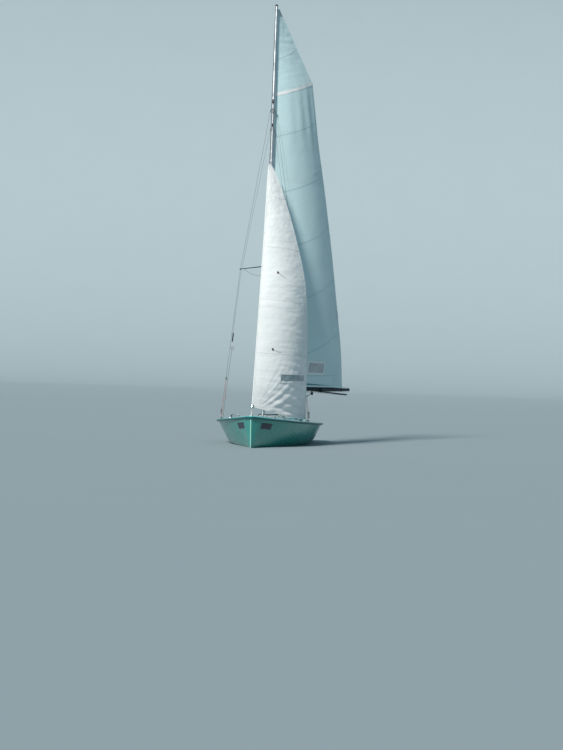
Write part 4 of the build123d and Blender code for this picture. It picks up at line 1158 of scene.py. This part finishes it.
class DINGHY_OT_mast_fittings(bpy.types.Operator):
    """Rivets, halyard gear, cleats and deck chocks of the mast"""
    bl_idname = "dinghy.mast_fittings"
    bl_label = "Mast fittings"

    def execute(self, context):
        heads = [stud(mast_point(z + rise, out, aft), PORT, 0.0042)
                 for z, out in ((5.56, 0.0365), (2.97, 0.042), (0.95, 0.035))
                 for rise in (-0.015, 0.015) for aft in (-0.012, 0.012)]
        paired("mast_rivets", heads, "steel")
        crane = mast_point(5.72, 0, -0.0375)
        parts = [block((0.026, 0.016, 0.06), crane + at(0, -0.006), 0.004)]
        parts += pulley(crane + at(0, -0.03, -0.02), PORT, (0, 0.4, 1), 0.016, 0.01)
        single("spinnaker_halyard_block", parts, "black")
        low = mast_point(5.325, 0, -0.0375)
        parts = [block((0.02, 0.012, 0.046), low + at(0, -0.004), 0.003)]
        parts += pulley(low + at(0, -0.026, -0.012), PORT, (0, 0.5, 1), 0.013, 0.009)
        single("jib_halyard_block", parts, "black")
        place = mast_point(5.24, 0.031, -0.006)
        paired("trapeze_tangs", [block((0.004, 0.022, 0.05), place + at(0.002), 0.0015),
                                 stud(place + at(0.004, 0, 0.01), PORT, 0.006, 0.006)], "steel")
        ring_place = mast_point(2.83, 0, -0.0375 - 0.01)
        single("pole_ring", [ring(ring_place, 0.016, 0.003, UP),
                             block((0.03, 0.008, 0.06), mast_point(2.83, 0, -0.04), 0.003)], "steel")
        boxes = [block((0.006, 0.018, tall), mast_point(height, 0.0325, 0.004), 0.0025)
                 for height, tall in ((1.62, 0.09), (0.62, 0.06))]
        paired("halyard_exits", boxes, "black")
        cleats = horn_cleat(mast_point(0.8, 0.031, -0.006), PORT, UP)
        paired("halyard_cleats", cleats, "alloy")
        turns = ((1.6, 0.0375, 0.002), (1.3, 0.0385, 0), (0.95, 0.0425, -0.01), (0.845, 0.046, -0.008),
                 (0.8, 0.05, 0.01), (0.755, 0.046, -0.006), (0.8, 0.054, -0.02), (0.845, 0.048, -0.002),
                 (0.79, 0.056, 0.008), (0.7, 0.042, 0.002), (0.63, 0.036, 0.003))
        for name, side, way in (("main_halyard", 1, "halyard"), ("jib_halyard_tail", -1, "blue_rope")):
            points = [mast_point(height, side * out, aft) for height, out, aft in turns]
            single(name, [tube(points, 0.003, 3, 3, 5)], way)
        head_aft = 0.0375 - 0.026
        wheel = turned([(-0.006, 0.02), (-0.002, 0.016), (0.002, 0.016), (0.006, 0.02)],
                       mast_point(7.33, 0, head_aft + 0.02), PORT, 20)
        rope_end = [mast_point(7.33, 0, head_aft + 0.038), mast_point(7.312, 0, head_aft + 0.04),
                    hinge_line(7.258) + at(0, 0.004)]
        single("masthead_sheave", [wheel], "steel")
        single("headboard_shackle", [tube(rope_end, 0.003, 3, 3, 5)], "halyard")
        chock = [block((0.02, 0.03, 0.012), (0.044, -0.788, 0.4885), 0.003),
                 stud((0.078, -0.74, 0.4826), UP), stud((0.078, -0.835, 0.4826), UP)]
        paired("mast_chocks", chock, "white")
        boot = turned([(0.486, 0.05), (0.492, 0.046), (0.53, 0.041), (0.56, 0.0405)], (0, 0, 0), UP, 32)
        for vertex in boot.data.vertices:
            spot = mast_point(vertex.co.z)
            reach = max(0.0, 1 - (vertex.co.z - 0.486) / 0.08)
            vertex.co = at(vertex.co.x * (0.9 + 0.1 * reach), spot.y + vertex.co.y * 1.04, vertex.co.z)
        single("mast_boot", [boot], "cover")
        return {"FINISHED"}


class DINGHY_OT_rigging(bpy.types.Operator):
    """Trapeze wires, shroud adjusters, halyard wire and the lines at the spreaders"""
    bl_idname = "dinghy.rigging"
    bl_label = "Rigging"

    def execute(self, context):
        handle = SHROUD_FOOT.lerp(SPREADER_END, 0.5) + at(-0.03, -0.045)
        top = mast_point(5.235, 0.038, -0.008)
        bend = SPREADER_END + at(-0.02, -0.028, 0.0)
        low = handle + UP * 0.1
        paired("trapeze_wires", [tube([top, bend, low], 0.0016, 2, 2, 3)], "wire")
        grip = turned([(-0.075, 0.006), (-0.07, 0.011), (0.055, 0.011), (0.075, 0.007)], handle, bend - handle, 14)
        loop = ring(handle - UP * 0.105, 0.022, 0.0032, (0, 1, 0.1))
        paired("trapeze_handles", [grip, loop], "grip")
        foot = at(0.7, -0.5, deck_top(0.7, -0.5) + 0.012)
        cord = tube([handle - UP * 0.128, handle.lerp(foot, 0.45) + at(0.008, -0.006), foot], 0.0028, 3, 3, 5)
        paired("trapeze_shock_cords", [cord], "dark_rope")
        tail = [handle - UP * drop for drop in (0.075, 0.09, 0.105)]
        paired("trapeze_adjusters", [tube(tail, 0.003, 2, 3, 2)], "red_rope")
        paired("shock_cord_eyes", eye(foot, 0.012, 0.009, 0.002), "steel")
        along = (SPREADER_END - SHROUD_FOOT).normalized()
        plates = []
        for side in (-1, 1):
            middle = SHROUD_FOOT + along * 0.035 + at(side * 0.005)
            plates.append(block((0.002, 0.02, 0.105), middle, 0.0008, along))
        for reach in (-0.006, 0.03, 0.074):
            plates.append(turned([(-0.009, 0.004), (0.009, 0.004)], SHROUD_FOOT + along * reach, PORT, 10))
        plates.append(turned([(0.075, 0.0045), (0.085, 0.0055), (0.13, 0.0045), (0.15, 0.003)], SHROUD_FOOT, along, 12))
        paired("shroud_adjusters", plates, "steel")
        bolts = [stud(place, UP) for place in four_corners(at(0.74, -0.45, 0.4155), at(0.008), at(0, 0.018))]
        paired("chainplate_bolts", bolts, "steel")
        upper = SHROUD_FOOT + along * 0.6 + at(-0.012, -0.02)
        lower = at(0.726, -0.492, deck_top(0.726, -0.492) + 0.022)
        falls = []
        for shift in (-0.011, 0.0, 0.011):
            falls.append(tube([upper + at(0, shift * 0.6, -0.018), upper.lerp(lower, 0.5) + at(0, shift),
                               lower + at(0, shift, 0.012)], 0.0032, 2, 3, 3))
        paired("shroud_tackles", falls, "red_rope")
        paired("shroud_tackle_blocks", pulley(upper, PORT, along, 0.013, 0.01)
               + pulley(lower, PORT, -UP, 0.011, 0.01), "black")
        paired("shroud_tackle_rings", [ring(upper + along * 0.03, 0.012, 0.0024, PORT)], "steel")
        halyard = [jib_point(0.3, JIB_HIGH) + UP * 0.012, STAY_FOOT.lerp(STAY_HEAD, 0.86) + at(0, 0.006),
                   mast_point(5.305, 0, -0.0635)]
        single("jib_halyard", [tube(halyard, 0.002, 2, 2, 3)], "wire")
        head = jib_point(0.3, JIB_HIGH)
        single("jib_head_shackle", [ring(head, 0.008, 0.002, PORT), stud(head + at(0.004), PORT)], "steel")
        caps = [turned([(-0.004, 0.011), (0.004, 0.0125), (0.016, 0.01), (0.022, 0.004)], SPREADER_END - at(0.008),
                       (1, 0.17, -0.12), 14)]
        paired("spreader_caps", caps, "black")
        line_out = at(0.385, -0.69, 2.905)
        line_in = mast_point(2.83, 0.034, -0.012)
        lines = [slack(line_out, line_in, 0.05, 0.0026), ring(line_out, 0.012, 0.002, PORT)]
        paired("spreader_lines", lines, "dark_rope")
        return {"FINISHED"}


LEAD = at(0.59, -0.21, 0.4936)
CAM = (0.5, -0.02)
BASE = at(0, 0.655, 0.388)
SHEET_BLOCK = boom_point(1.48, 0, -0.079)
FORWARD_BLOCK = boom_point(0.65, 0, -0.079)


class DINGHY_OT_jib_sheet(bpy.types.Operator):
    """Jib sheet in one loop from the clew through both fairleads and cleats"""
    bl_idname = "dinghy.jib_sheet"
    bl_label = "Jib sheet"

    def execute(self, context):
        size = context.scene.dinghy_rig.sheet_size / 2
        clew = jib_point(0.985, JIB_LOW + 0.012)
        single("jib_clew_ring", [ring(clew, 0.013, 0.0028, (1, 0.25, 0))], "steel")
        cam_z = deck_top(*CAM) + 0.018
        steps = ((-0.004, 0.012, -0.01), (0.01, 0.02, -0.002), (0.004, 0.026, 0.014),
                 (-0.012, 0.018, 0.006), (0.002, 0.022, -0.012), (0.012, 0.03, 0.004))
        knot = [clew + at(*step) for step in steps]
        single("jib_sheet_knot", [tube(knot, size, 3, 3, 6)], "sheet")
        over = LEAD + UP * (size * 0.5)
        port = [clew + at(0, 0.02), clew.lerp(over, 0.5), over + at(0.004, -0.028, -0.006), over,
                over + at(-0.012, 0.03, -0.008), at(CAM[0] + 0.01, CAM[1] - 0.05, cam_z + 0.004),
                at(CAM[0], CAM[1], cam_z), at(CAM[0] - 0.03, CAM[1] + 0.05, cam_z + 0.008),
                (0.425, 0.085, 0.4), (0.385, 0.13, 0.25), (0.35, 0.2, 0.085),
                (0.29, 0.31, 0.0555), (0.2, 0.3, 0.0555), (0.13, 0.17, 0.056),
                (0.075, 0.05, 0.16), (0.04, -0.01, 0.255), (0, -0.03, 0.261)]
        star = [(0, -0.03, 0.261), (-0.04, -0.04, 0.255), (-0.08, -0.02, 0.15),
                (-0.15, 0.12, 0.056), (-0.24, 0.29, 0.0555), (-0.33, 0.26, 0.06),
                (-0.375, 0.15, 0.23), (-0.42, 0.085, 0.4),
                at(-CAM[0] + 0.03, CAM[1] + 0.05, cam_z + 0.008), at(-CAM[0], CAM[1], cam_z),
                at(-CAM[0] - 0.01, CAM[1] - 0.05, cam_z + 0.004), at(-0.578, -0.165, over.z - 0.008),
                at(-0.59, -0.21, over.z), at(-0.586, -0.25, over.z - 0.002)]
        lazy = [star[-1]]
        for x, y, lift in ((-0.56, -0.34, 0.012), (-0.43, -0.64, 0.007), (-0.23, -0.88, 0.007), (-0.05, -0.965, 0.009),
                           (0.11, -0.95, 0.008), (0.33, -0.81, 0.007), (0.52, -0.64, 0.009), (0.62, -0.55, 0.014)):
            lazy.append(at(x, y, deck_top(x, y) + lift))
        lazy += [clew + at(-0.02, 0.004, -0.012), clew + at(0, 0.016, -0.004)]
        single("jib_sheet_port", [tube(port, size, 3, 3, 5)], "sheet")
        single("jib_sheet_starboard", [tube(star, size, 3, 3, 5)], "sheet")
        single("jib_sheet_lazy", [tube(lazy, size, 3, 3, 5)], "sheet")
        base = Vector((*CAM, deck_top(*CAM)))
        paired("jib_cam_cleats", cam_cleat(base, (-0.28, 0.96, 0)), "black")
        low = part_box("jib_fairleads")[0].z + 0.006
        places = four_corners(at(LEAD.x, LEAD.y, low), at(0.013), at(0, 0.036))
        paired("fairlead_screws", screws(places, UP), "steel")
        cheeks = [turned([(-0.0025, 0.02), (0, 0.021), (0.0025, 0.018)], LEAD + at(side * 0.0105, 0, -0.0225),
                         PORT * side, 24) for side in (-1, 1)]
        paired("fairlead_cheeks", cheeks, "black")
        tracks = []
        for y in (-0.36, -0.06):
            z = deck_top(0.59, y)
            tracks.append(block((0.024, 0.15, 0.006), (0.59, y - 0.02 if y < -0.2 else y - 0.01, z + 0.003), 0.0015))
        paired("fairlead_tracks", tracks, "alloy")
        return {"FINISHED"}


class DINGHY_OT_mainsheet(bpy.types.Operator):
    """Mainsheet with its ratchet block, cleat, falls and strops on the boom"""
    bl_idname = "dinghy.mainsheet"
    bl_label = "Mainsheet"

    def execute(self, context):
        size = context.scene.dinghy_rig.sheet_size / 2
        for number, shift in enumerate((-0.012, 0.012)):
            low = BASE + at(shift * 0.5, shift, 0.006)
            high = SHEET_BLOCK + at(-0.016, 0, 0.002) + BOOM_LINE * shift
            fall = tube([low.lerp(high, part / 4) for part in range(5)], size, 3, 3, 8)
            pick(named(f"mainsheet_fall_{number}", fall))
            bpy.ops.object.shade_smooth_by_angle(angle=radians(40))
            fall.data.materials.append(Shop.finishes["sheet"])
            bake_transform(fall)
        run = [SHEET_BLOCK + BOOM_LINE * -0.012 + UP * 0.024, boom_point(1.25, 0.004, -0.052),
               boom_point(0.9, 0.004, -0.054), FORWARD_BLOCK + BOOM_LINE * 0.014 + UP * 0.024]
        single("mainsheet_along_boom", [tube(run, size, 3, 3, 5)], "sheet", "boom")
        wheel = [turned([(-0.011, 0.03), (-0.01, 0.031), (-0.004, 0.024), (0.004, 0.024), (0.01, 0.031), (0.011, 0.03)],
                        BASE - at(0, 0, 0.026), PORT, 28)]
        single("ratchet_wheel", wheel, "black")
        tail = [BASE + at(0.004, -0.028, -0.02), (0.006, 0.6, 0.352), (0.01, 0.56, 0.346),
                (0.06, 0.47, 0.3), (0.15, 0.45, 0.15), (0.22, 0.5, 0.0575),
                (0.28, 0.64, 0.055), (0.3, 0.85, 0.055), (0.21, 1.01, 0.055),
                (0.1, 1.0, 0.055), (0.06, 0.9, 0.055), (0.13, 0.84, 0.059),
                (0.25, 0.93, 0.064), (0.255, 1.08, 0.056), (0.18, 1.11, 0.06)]
        single("mainsheet_tail", [tube(tail, size, 3, 3, 6)], "sheet")
        single("mainsheet_tail_eye", eye(at(0.18, 1.11, 0.062), 0.013, 0.011, 0.0022), "steel")
        single("mainsheet_cleat", cam_cleat(at(0, 0.598, 0.3325), (0, -1, 0.1)), "black")
        strops = [boom_loop(reach, 0.03, 0.0405, -0.003, 0.0024) for reach in (0.65, 1.48)]
        single("boom_strops", strops, "dark_rope", "boom")
        return {"FINISHED"}


class DINGHY_OT_boom_gear(bpy.types.Operator):
    """Kicking strap, cunningham, outhaul and fittings of the boom"""
    bl_idname = "dinghy.boom_gear"
    bl_label = "Boom gear"

    def execute(self, context):
        swivel = hinge_line(0.585)
        anchor = mast_point(0.585, 0, MAST_HALF_DEPTH)
        parts = [block((0.03, 0.004, 0.07), anchor + at(0, 0.002), 0.0012),
                 block((0.01, 0.012, 0.024), anchor.lerp(swivel, 0.6))]
        parts += screws(four_corners(anchor + at(0, 0.004), at(0.01), UP * 0.025), AFT)
        single("vang_anchor", parts, "steel")
        lug = boom_point(0.62, 0, -0.0355)
        along = (lug - swivel).normalized()
        low, high = swivel + along * 0.06, lug - along * 0.05
        single("vang_fittings", [
            turned([(-0.014, 0.006), (0.014, 0.006)], swivel, UP, 12),
            tube([swivel, swivel + along * 0.03], 0.004, 2, 2, 2),
            block((0.04, 0.02, 0.004), lug + UP * 0.0005, 0.001, about=atan2(BOOM_LINE.y, BOOM_LINE.x)),
            *pulley(low, BOOM_SIDE, -along, 0.019, 0.02), *pulley(high, BOOM_SIDE, along, 0.019, 0.014),
        ], "black", "boom")
        ropes = []
        for shift in (-0.018, -0.006, 0.006, 0.018):
            side, drop = BOOM_SIDE * shift * 0.45, along.cross(BOOM_SIDE) * shift
            ropes.append(tube([end + side + drop for end in (low, low.lerp(high, 0.5), high)], 0.003, 2, 2, 2))
        single("vang_ropes", ropes, "red_rope", "boom")
        tack = hinge_line(1.035)
        single("tack_ring", [ring(tack, 0.011, 0.0026, PORT)], "steel")
        lines = []
        for side in (-1, 1):
            line = [tack + at(side * 0.004, -0.009, -0.007), tack + at(side * 0.019, -0.016, -0.05),
                    mast_point(0.9, side * 0.039, 0.03), mast_point(0.66, side * 0.036, 0.024)]
            lines.append(tube(line, 0.0026, 3, 3, 4))
        single("cunningham_lines", lines, "blue_rope")
        hooks = [turned([(-0.003, 0.007), (0.003, 0.007), (0.006, 0.004)], mast_point(0.655, side * 0.034, 0.024),
                        PORT * side, 14) for side in (-1, 1)]
        single("cunningham_cheeks", hooks, "black")
        clew = main_point(0.985, MAIN.low + 0.018)
        reach = (clew - HINGE).dot(BOOM_LINE)
        single("clew_strap", [boom_loop(reach, 0.029, 0.041, 0.004, 0.0034)], "strap", "boom")
        single("clew_ring", [ring(clew, 0.012, 0.0026, BOOM_SIDE)], "steel", "boom")
        outhaul = [clew + BOOM_LINE * 0.01, boom_point(2.56, 0, 0.04), boom_point(2.66, 0, 0.03)]
        under = [boom_point(2.62, 0.01, -0.0375), boom_point(2.2, 0.01, -0.0385), boom_point(1.62, 0.01, -0.0385)]
        single("outhaul", [tube(outhaul, 0.0022, 3, 3, 4), tube(under, 0.0022, 3, 3, 4)], "blue_rope", "boom")
        rivets = []
        for side in (-1, 1):
            for at_end in (0.04, 0.065, 2.6, 2.63):
                for rise in (0.01, -0.012):
                    rivets.append(stud(boom_point(at_end, side * 0.0225, rise), BOOM_SIDE * side, 0.0035, 0.002))
            for under in (0.64, 0.66, 1.47, 1.49):
                rivets.append(stud(boom_point(under, side * 0.012, -0.035), -UP, 0.0035, 0.002))
        single("boom_rivets", rivets, "steel", "boom")
        cleat = horn_cleat(boom_point(1.0, -0.0215, -0.004), -BOOM_SIDE, BOOM_LINE)
        single("outhaul_cleat", cleat, "black", "boom")
        foot, head = boom_point(0.74, 0.046, 0.01), boom_point(2.5, 0.046, -0.085)
        run = (head - foot).normalized()
        gear = []
        for end, way in ((foot, -1), (head, 1)):
            tip = end + run * way * 0.03
            hook = [tip + run * way * out + BOOM_SIDE * aside
                    for out, aside in ((0, 0), (0.01, 0.008), (0.018, -0.002), (0.012, -0.01))]
            gear.append(tube(hook, 0.0028, 3, 3, 5))
            gear.append(stud(end + BOOM_SIDE * 0.0135, BOOM_SIDE, 0.004, 0.002))
        single("pole_pistons", gear, "steel", "boom")
        middle = foot.lerp(head, 0.5)
        down = run.cross(BOOM_SIDE).normalized() * 0.014
        if down.z > 0:
            down = -down
        bridle = [foot + run * 0.06 + down, foot.lerp(head, 0.25) + down * 1.35, middle + down * 1.9,
                  foot.lerp(head, 0.75) + down * 1.35, head - run * 0.06 + down]
        bridle_ring = ring(middle + down * 1.7, 0.01, 0.002, run)
        single("pole_bridle", [tube(bridle, 0.0024), bridle_ring], "dark_rope", "boom")
        sleeve = [(-0.012, 0.0128), (-0.01, 0.014), (0.01, 0.014), (0.012, 0.0128)]
        bands = [turned(sleeve, foot.lerp(head, part), run) for part in (0.045, 0.5, 0.955)]
        single("pole_bands", bands, "black", "boom")
        return {"FINISHED"}


class DINGHY_OT_cockpit(bpy.types.Operator):
    """Fittings of the cockpit, the centreboard case and the transom"""
    bl_idname = "dinghy.cockpit"
    bl_label = "Cockpit"

    def execute(self, context):
        lip = modify(block((0.012, 0.94, 0.005), (0.021, 0.0, 0.2525), 0.0015), "BEVEL", width=0.0005, segments=1)
        paired("case_gasket", [lip], "grip")
        paired("case_screws", screws([(0.022, y / 100, 0.255) for y in range(-44, 45, 11)], UP, 0.0032), "steel")
        places = four_corners(at(0.4575, 0.655, 0.3), at(0.0175), at(0, 0.03))
        bolts = [stud(place, UP, 0.006, 0.0035) for place in places]
        paired("thwart_bolts", bolts, "steel")
        knees = [block((0.036, 0.01, 0.06), (0.452, y, 0.236), 0.003, taper=0.8) for y in (0.612, 0.698)]
        paired("thwart_brackets", knees, "alloy")
        anchors = [block((0.06, 0.036, 0.006), (0.18, y, 0.195)) for y in (0.735, 2.388)]
        for x in (0.158, 0.202):
            anchors.append(tube([(x, 0.716, 0.196), (x, 0.706, 0.215), (x, 0.7, 0.262)], 0.003, 3, 2, 3))
            anchors.append(tube([(x, 2.404, 0.193), (x, 2.412, 0.193)], 0.004, 2, 2, 2))
        paired("toe_strap_anchors", anchors, "black")
        stitches = [block((0.044, 0.0022, 0.0012), (0.18, y + shift, 0.1925), 0.0003)
                    for y in (0.8, 0.86, 2.26, 2.32) for shift in (0, 0.012)]
        paired("toe_strap_stitching", stitches, "white_thread")
        pads = [block((0.046, 1.1, 0.01), (0.18, 1.56, 0.1965), 0.0045, taper=0.92, segments=3)]
        paired("toe_strap_padding", pads, "grip", "root", 40)
        hinges = [block((0.15, 0.006, 0.014), (0.21, 2.433, 0.152))]
        hinges += screws([(0.15 + 0.06 * k, 2.436, 0.152) for k in range(3)], AFT)
        paired("flap_hinges", hinges, "black")
        toggles = [turned([(0, 0.011), (0.004, 0.011), (0.007, 0.007)], (0.21, 2.43, 0.078), AFT, 18)]
        paired("flap_studs", toggles, "black")
        cord = [(-0.21, 2.438, 0.078), (-0.11, 2.437, 0.098), (0, 2.4285, 0.115),
                (0.11, 2.437, 0.098), (0.21, 2.438, 0.078)]
        single("flap_cord", [tube(cord, 0.003, 3, 3, 5)], "dark_rope")
        bars = [block(size, (0.37, 2.4368, 0.235)) for size in ((0.07, 0.007, 0.01), (0.01, 0.007, 0.07))]
        paired("cover_grips", [ring((0.37, 2.4345, 0.235), 0.044, 0.0022, AFT), *bars], "white")
        ring_screws = [(0.37 + 0.0505 * cos(pi * k / 3), 2.433, 0.235 + 0.0505 * sin(pi * k / 3)) for k in range(6)]
        paired("cover_screws", screws(ring_screws, AFT, 0.0026), "steel")
        plugs = [turned([(0, 0.016), (0.004, 0.016), (0.006, 0.011), (0.012, 0.01)], (0.3, 2.425, 0.02), AFT, 20)]
        paired("drain_plugs", plugs, "black")
        return {"FINISHED"}


class DINGHY_OT_rudder_gear(bpy.types.Operator):
    """Rivets, lines and grips of the rudder, tiller and extension"""
    bl_idname = "dinghy.rudder_gear"
    bl_label = "Rudder gear"

    def execute(self, context):
        places = ((2.49, 0.07), (2.49, 0.26), (2.49, 0.42), (2.62, 0.07), (2.62, 0.4), (2.56, 0.44), (2.51, 0.44))
        heads = [stud((0.02, y, z), PORT, 0.0042, 0.0025) for y, z in places]
        heads.append(stud((0.02, 2.571, 0.15), PORT, 0.01, 0.005))
        paired("stock_rivets", heads, "steel", "rudder")
        band = [block((0.033, 0.022, 0.032), (0, y, 0.44), 0.003) for y in (1.6, 2.42)]
        single("tiller_bands", band, "black", "rudder")
        line = [(0.01, 2.6, 0.464), (0.009, 2.5, 0.462), (0.008, 2.4, 0.4585), (0.008, 2.05, 0.457),
                (0.006, 1.78, 0.46)]
        single("blade_line", [tube(line, 0.0025, 3, 3, 6)], "blue_rope", "rudder")
        single("blade_line_eye", [ring((0.01, 2.602, 0.462), 0.006, 0.0016, AFT)], "steel", "rudder")
        single("blade_line_cleat", cam_cleat(at(0.004, 1.8, 0.453), (0, -1, 0)), "black", "rudder")
        single("rudder_clip", [block((0.012, 0.004, 0.06), (0, 2.474, 0.318), 0.0012)], "steel")
        root, far = at(-0.009, 1.49, 0.473), at(-0.2115, 0.5405, 0.473)
        run = (far - root).normalized()
        grip = turned([(-0.001, 0.0112), (0.004, 0.0136), (0.35, 0.0136), (0.356, 0.0112)], far - run * 0.362, run, 28)
        knob = turned([(-0.006, 0.0115), (0.0, 0.015), (0.012, 0.015), (0.016, 0.011)], far - run * 0.004, run, 28)
        rings = [turned([(-0.003, 0.0138), (-0.002, 0.0146), (0.002, 0.0146), (0.003, 0.0138)],
                        far - run * (0.03 + 0.045 * k), run, 24) for k in range(7)]
        single("extension_grip", [grip, knob, *rings], "grip", "tiller_extension")
        collar = turned([(-0.01, 0.0112), (-0.008, 0.0128), (0.008, 0.0128), (0.01, 0.0112)], root + run * 0.02, run)
        single("extension_collar", [collar], "black", "tiller_extension")
        return {"FINISHED"}


class DINGHY_OT_stage(bpy.types.Operator):
    """Pale floor at the waterline, soft light and the camera"""
    bl_idname = "dinghy.stage"
    bl_label = "Stage"

    def execute(self, context):
        settings = context.scene.dinghy_stage
        clear()
        bpy.ops.mesh.primitive_circle_add(vertices=96, radius=400, fill_type="NGON")
        floor = bpy.context.object
        floor.name = "floor"
        made = Finish("Floor", settings.floor, 0.9)
        made.vary("Base Color", 0.4, 3, 0.8, shade(settings.floor, 0.985), settings.floor)
        floor.data.materials.append(made.material)
        look = at(-sin(CAMERA_TURN), cos(CAMERA_TURN))
        right = at(cos(CAMERA_TURN), sin(CAMERA_TURN))

        def put(u, v):
            turn = min(v * 2, 1) * pi / 2
            far, high = 120 + 40 * sin(turn), 40 * (1 - cos(turn)) + max(v * 2 - 1, 0) * 60
            return look * far + right * (260 * (u - 0.5)) + UP * high

        wall = grid(4, 48, put)
        wall.name = wall.data.name = "backdrop"
        wall.data.materials.append(made.material)
        pick(wall)
        bpy.ops.object.shade_smooth()
        world = bpy.data.worlds.new("Soft_studio")
        world.use_nodes = True
        sky = world.node_tree.nodes["Background"]
        sky.inputs["Color"].default_value = (0.4, 0.66, 0.82, 1)
        sky.inputs["Strength"].default_value = settings.sky
        context.scene.world = world
        bpy.ops.object.light_add(type="SUN", rotation=(0, 0, 0))
        key = bpy.context.object
        key.name = "key_light"
        key.data.energy = settings.sun
        key.data.angle = radians(9)
        key.data.color = (1.0, 0.97, 0.92)
        key.rotation_mode = "QUATERNION"
        key.rotation_quaternion = TO_KEY.to_track_quat("Z", "Y")
        bpy.ops.object.camera_add(location=CAMERA_PLACE)
        camera = bpy.context.object
        camera.name = "photo_camera"
        camera.data.lens = settings.lens
        camera.data.sensor_width = 36
        camera.data.clip_end = 1000
        basis = Matrix((right, UP, -look)).transposed()
        roll = Matrix.Rotation(CAMERA_ROLL, 3, "Z")
        camera.rotation_mode = "QUATERNION"
        camera.rotation_quaternion = (basis @ roll).to_quaternion()
        context.scene.camera = camera
        context.scene.view_settings.view_transform = "Standard"
        clear()
        return {"FINISHED"}


OPERATORS = [
    DINGHY_OT_finishes,
    DINGHY_OT_jib,
    DINGHY_OT_mainsail,
    DINGHY_OT_bow,
    DINGHY_OT_mast_fittings,
    DINGHY_OT_rigging,
    DINGHY_OT_jib_sheet,
    DINGHY_OT_mainsheet,
    DINGHY_OT_boom_gear,
    DINGHY_OT_cockpit,
    DINGHY_OT_rudder_gear,
    DINGHY_OT_stage,
]
GROUPS = {
    "dinghy_cloth": DinghyCloth,
    "dinghy_hull": DinghyHull,
    "dinghy_rig": DinghyRig,
    "dinghy_stage": DinghyStage,
}


class DINGHY_PT_panel(bpy.types.Panel):
    """Settings of the dinghy and the operators that build it"""
    bl_idname = "DINGHY_PT_panel"
    bl_label = "Sailing dinghy"
    bl_space_type = "VIEW_3D"
    bl_region_type = "UI"
    bl_category = "Dinghy"

    def draw(self, context):
        for name, group in GROUPS.items():
            box = self.layout.box()
            for key in group.__annotations__:
                box.prop(getattr(context.scene, name), key)
        for operator in OPERATORS:
            self.layout.operator(operator.bl_idname)


def register():
    for each in (*GROUPS.values(), *OPERATORS, DINGHY_PT_panel):
        bpy.utils.register_class(each)
    for name, group in GROUPS.items():
        setattr(bpy.types.Scene, name, bpy.props.PointerProperty(type=group))


def unregister():
    for name in GROUPS:
        delattr(bpy.types.Scene, name)
    for each in reversed((*GROUPS.values(), *OPERATORS, DINGHY_PT_panel)):
        bpy.utils.unregister_class(each)


def main():
    register()
    for operator in OPERATORS:
        family, name = operator.bl_idname.split(".")
        getattr(getattr(bpy.ops, family), name)()
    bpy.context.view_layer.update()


if __name__ == "__main__":
    main()
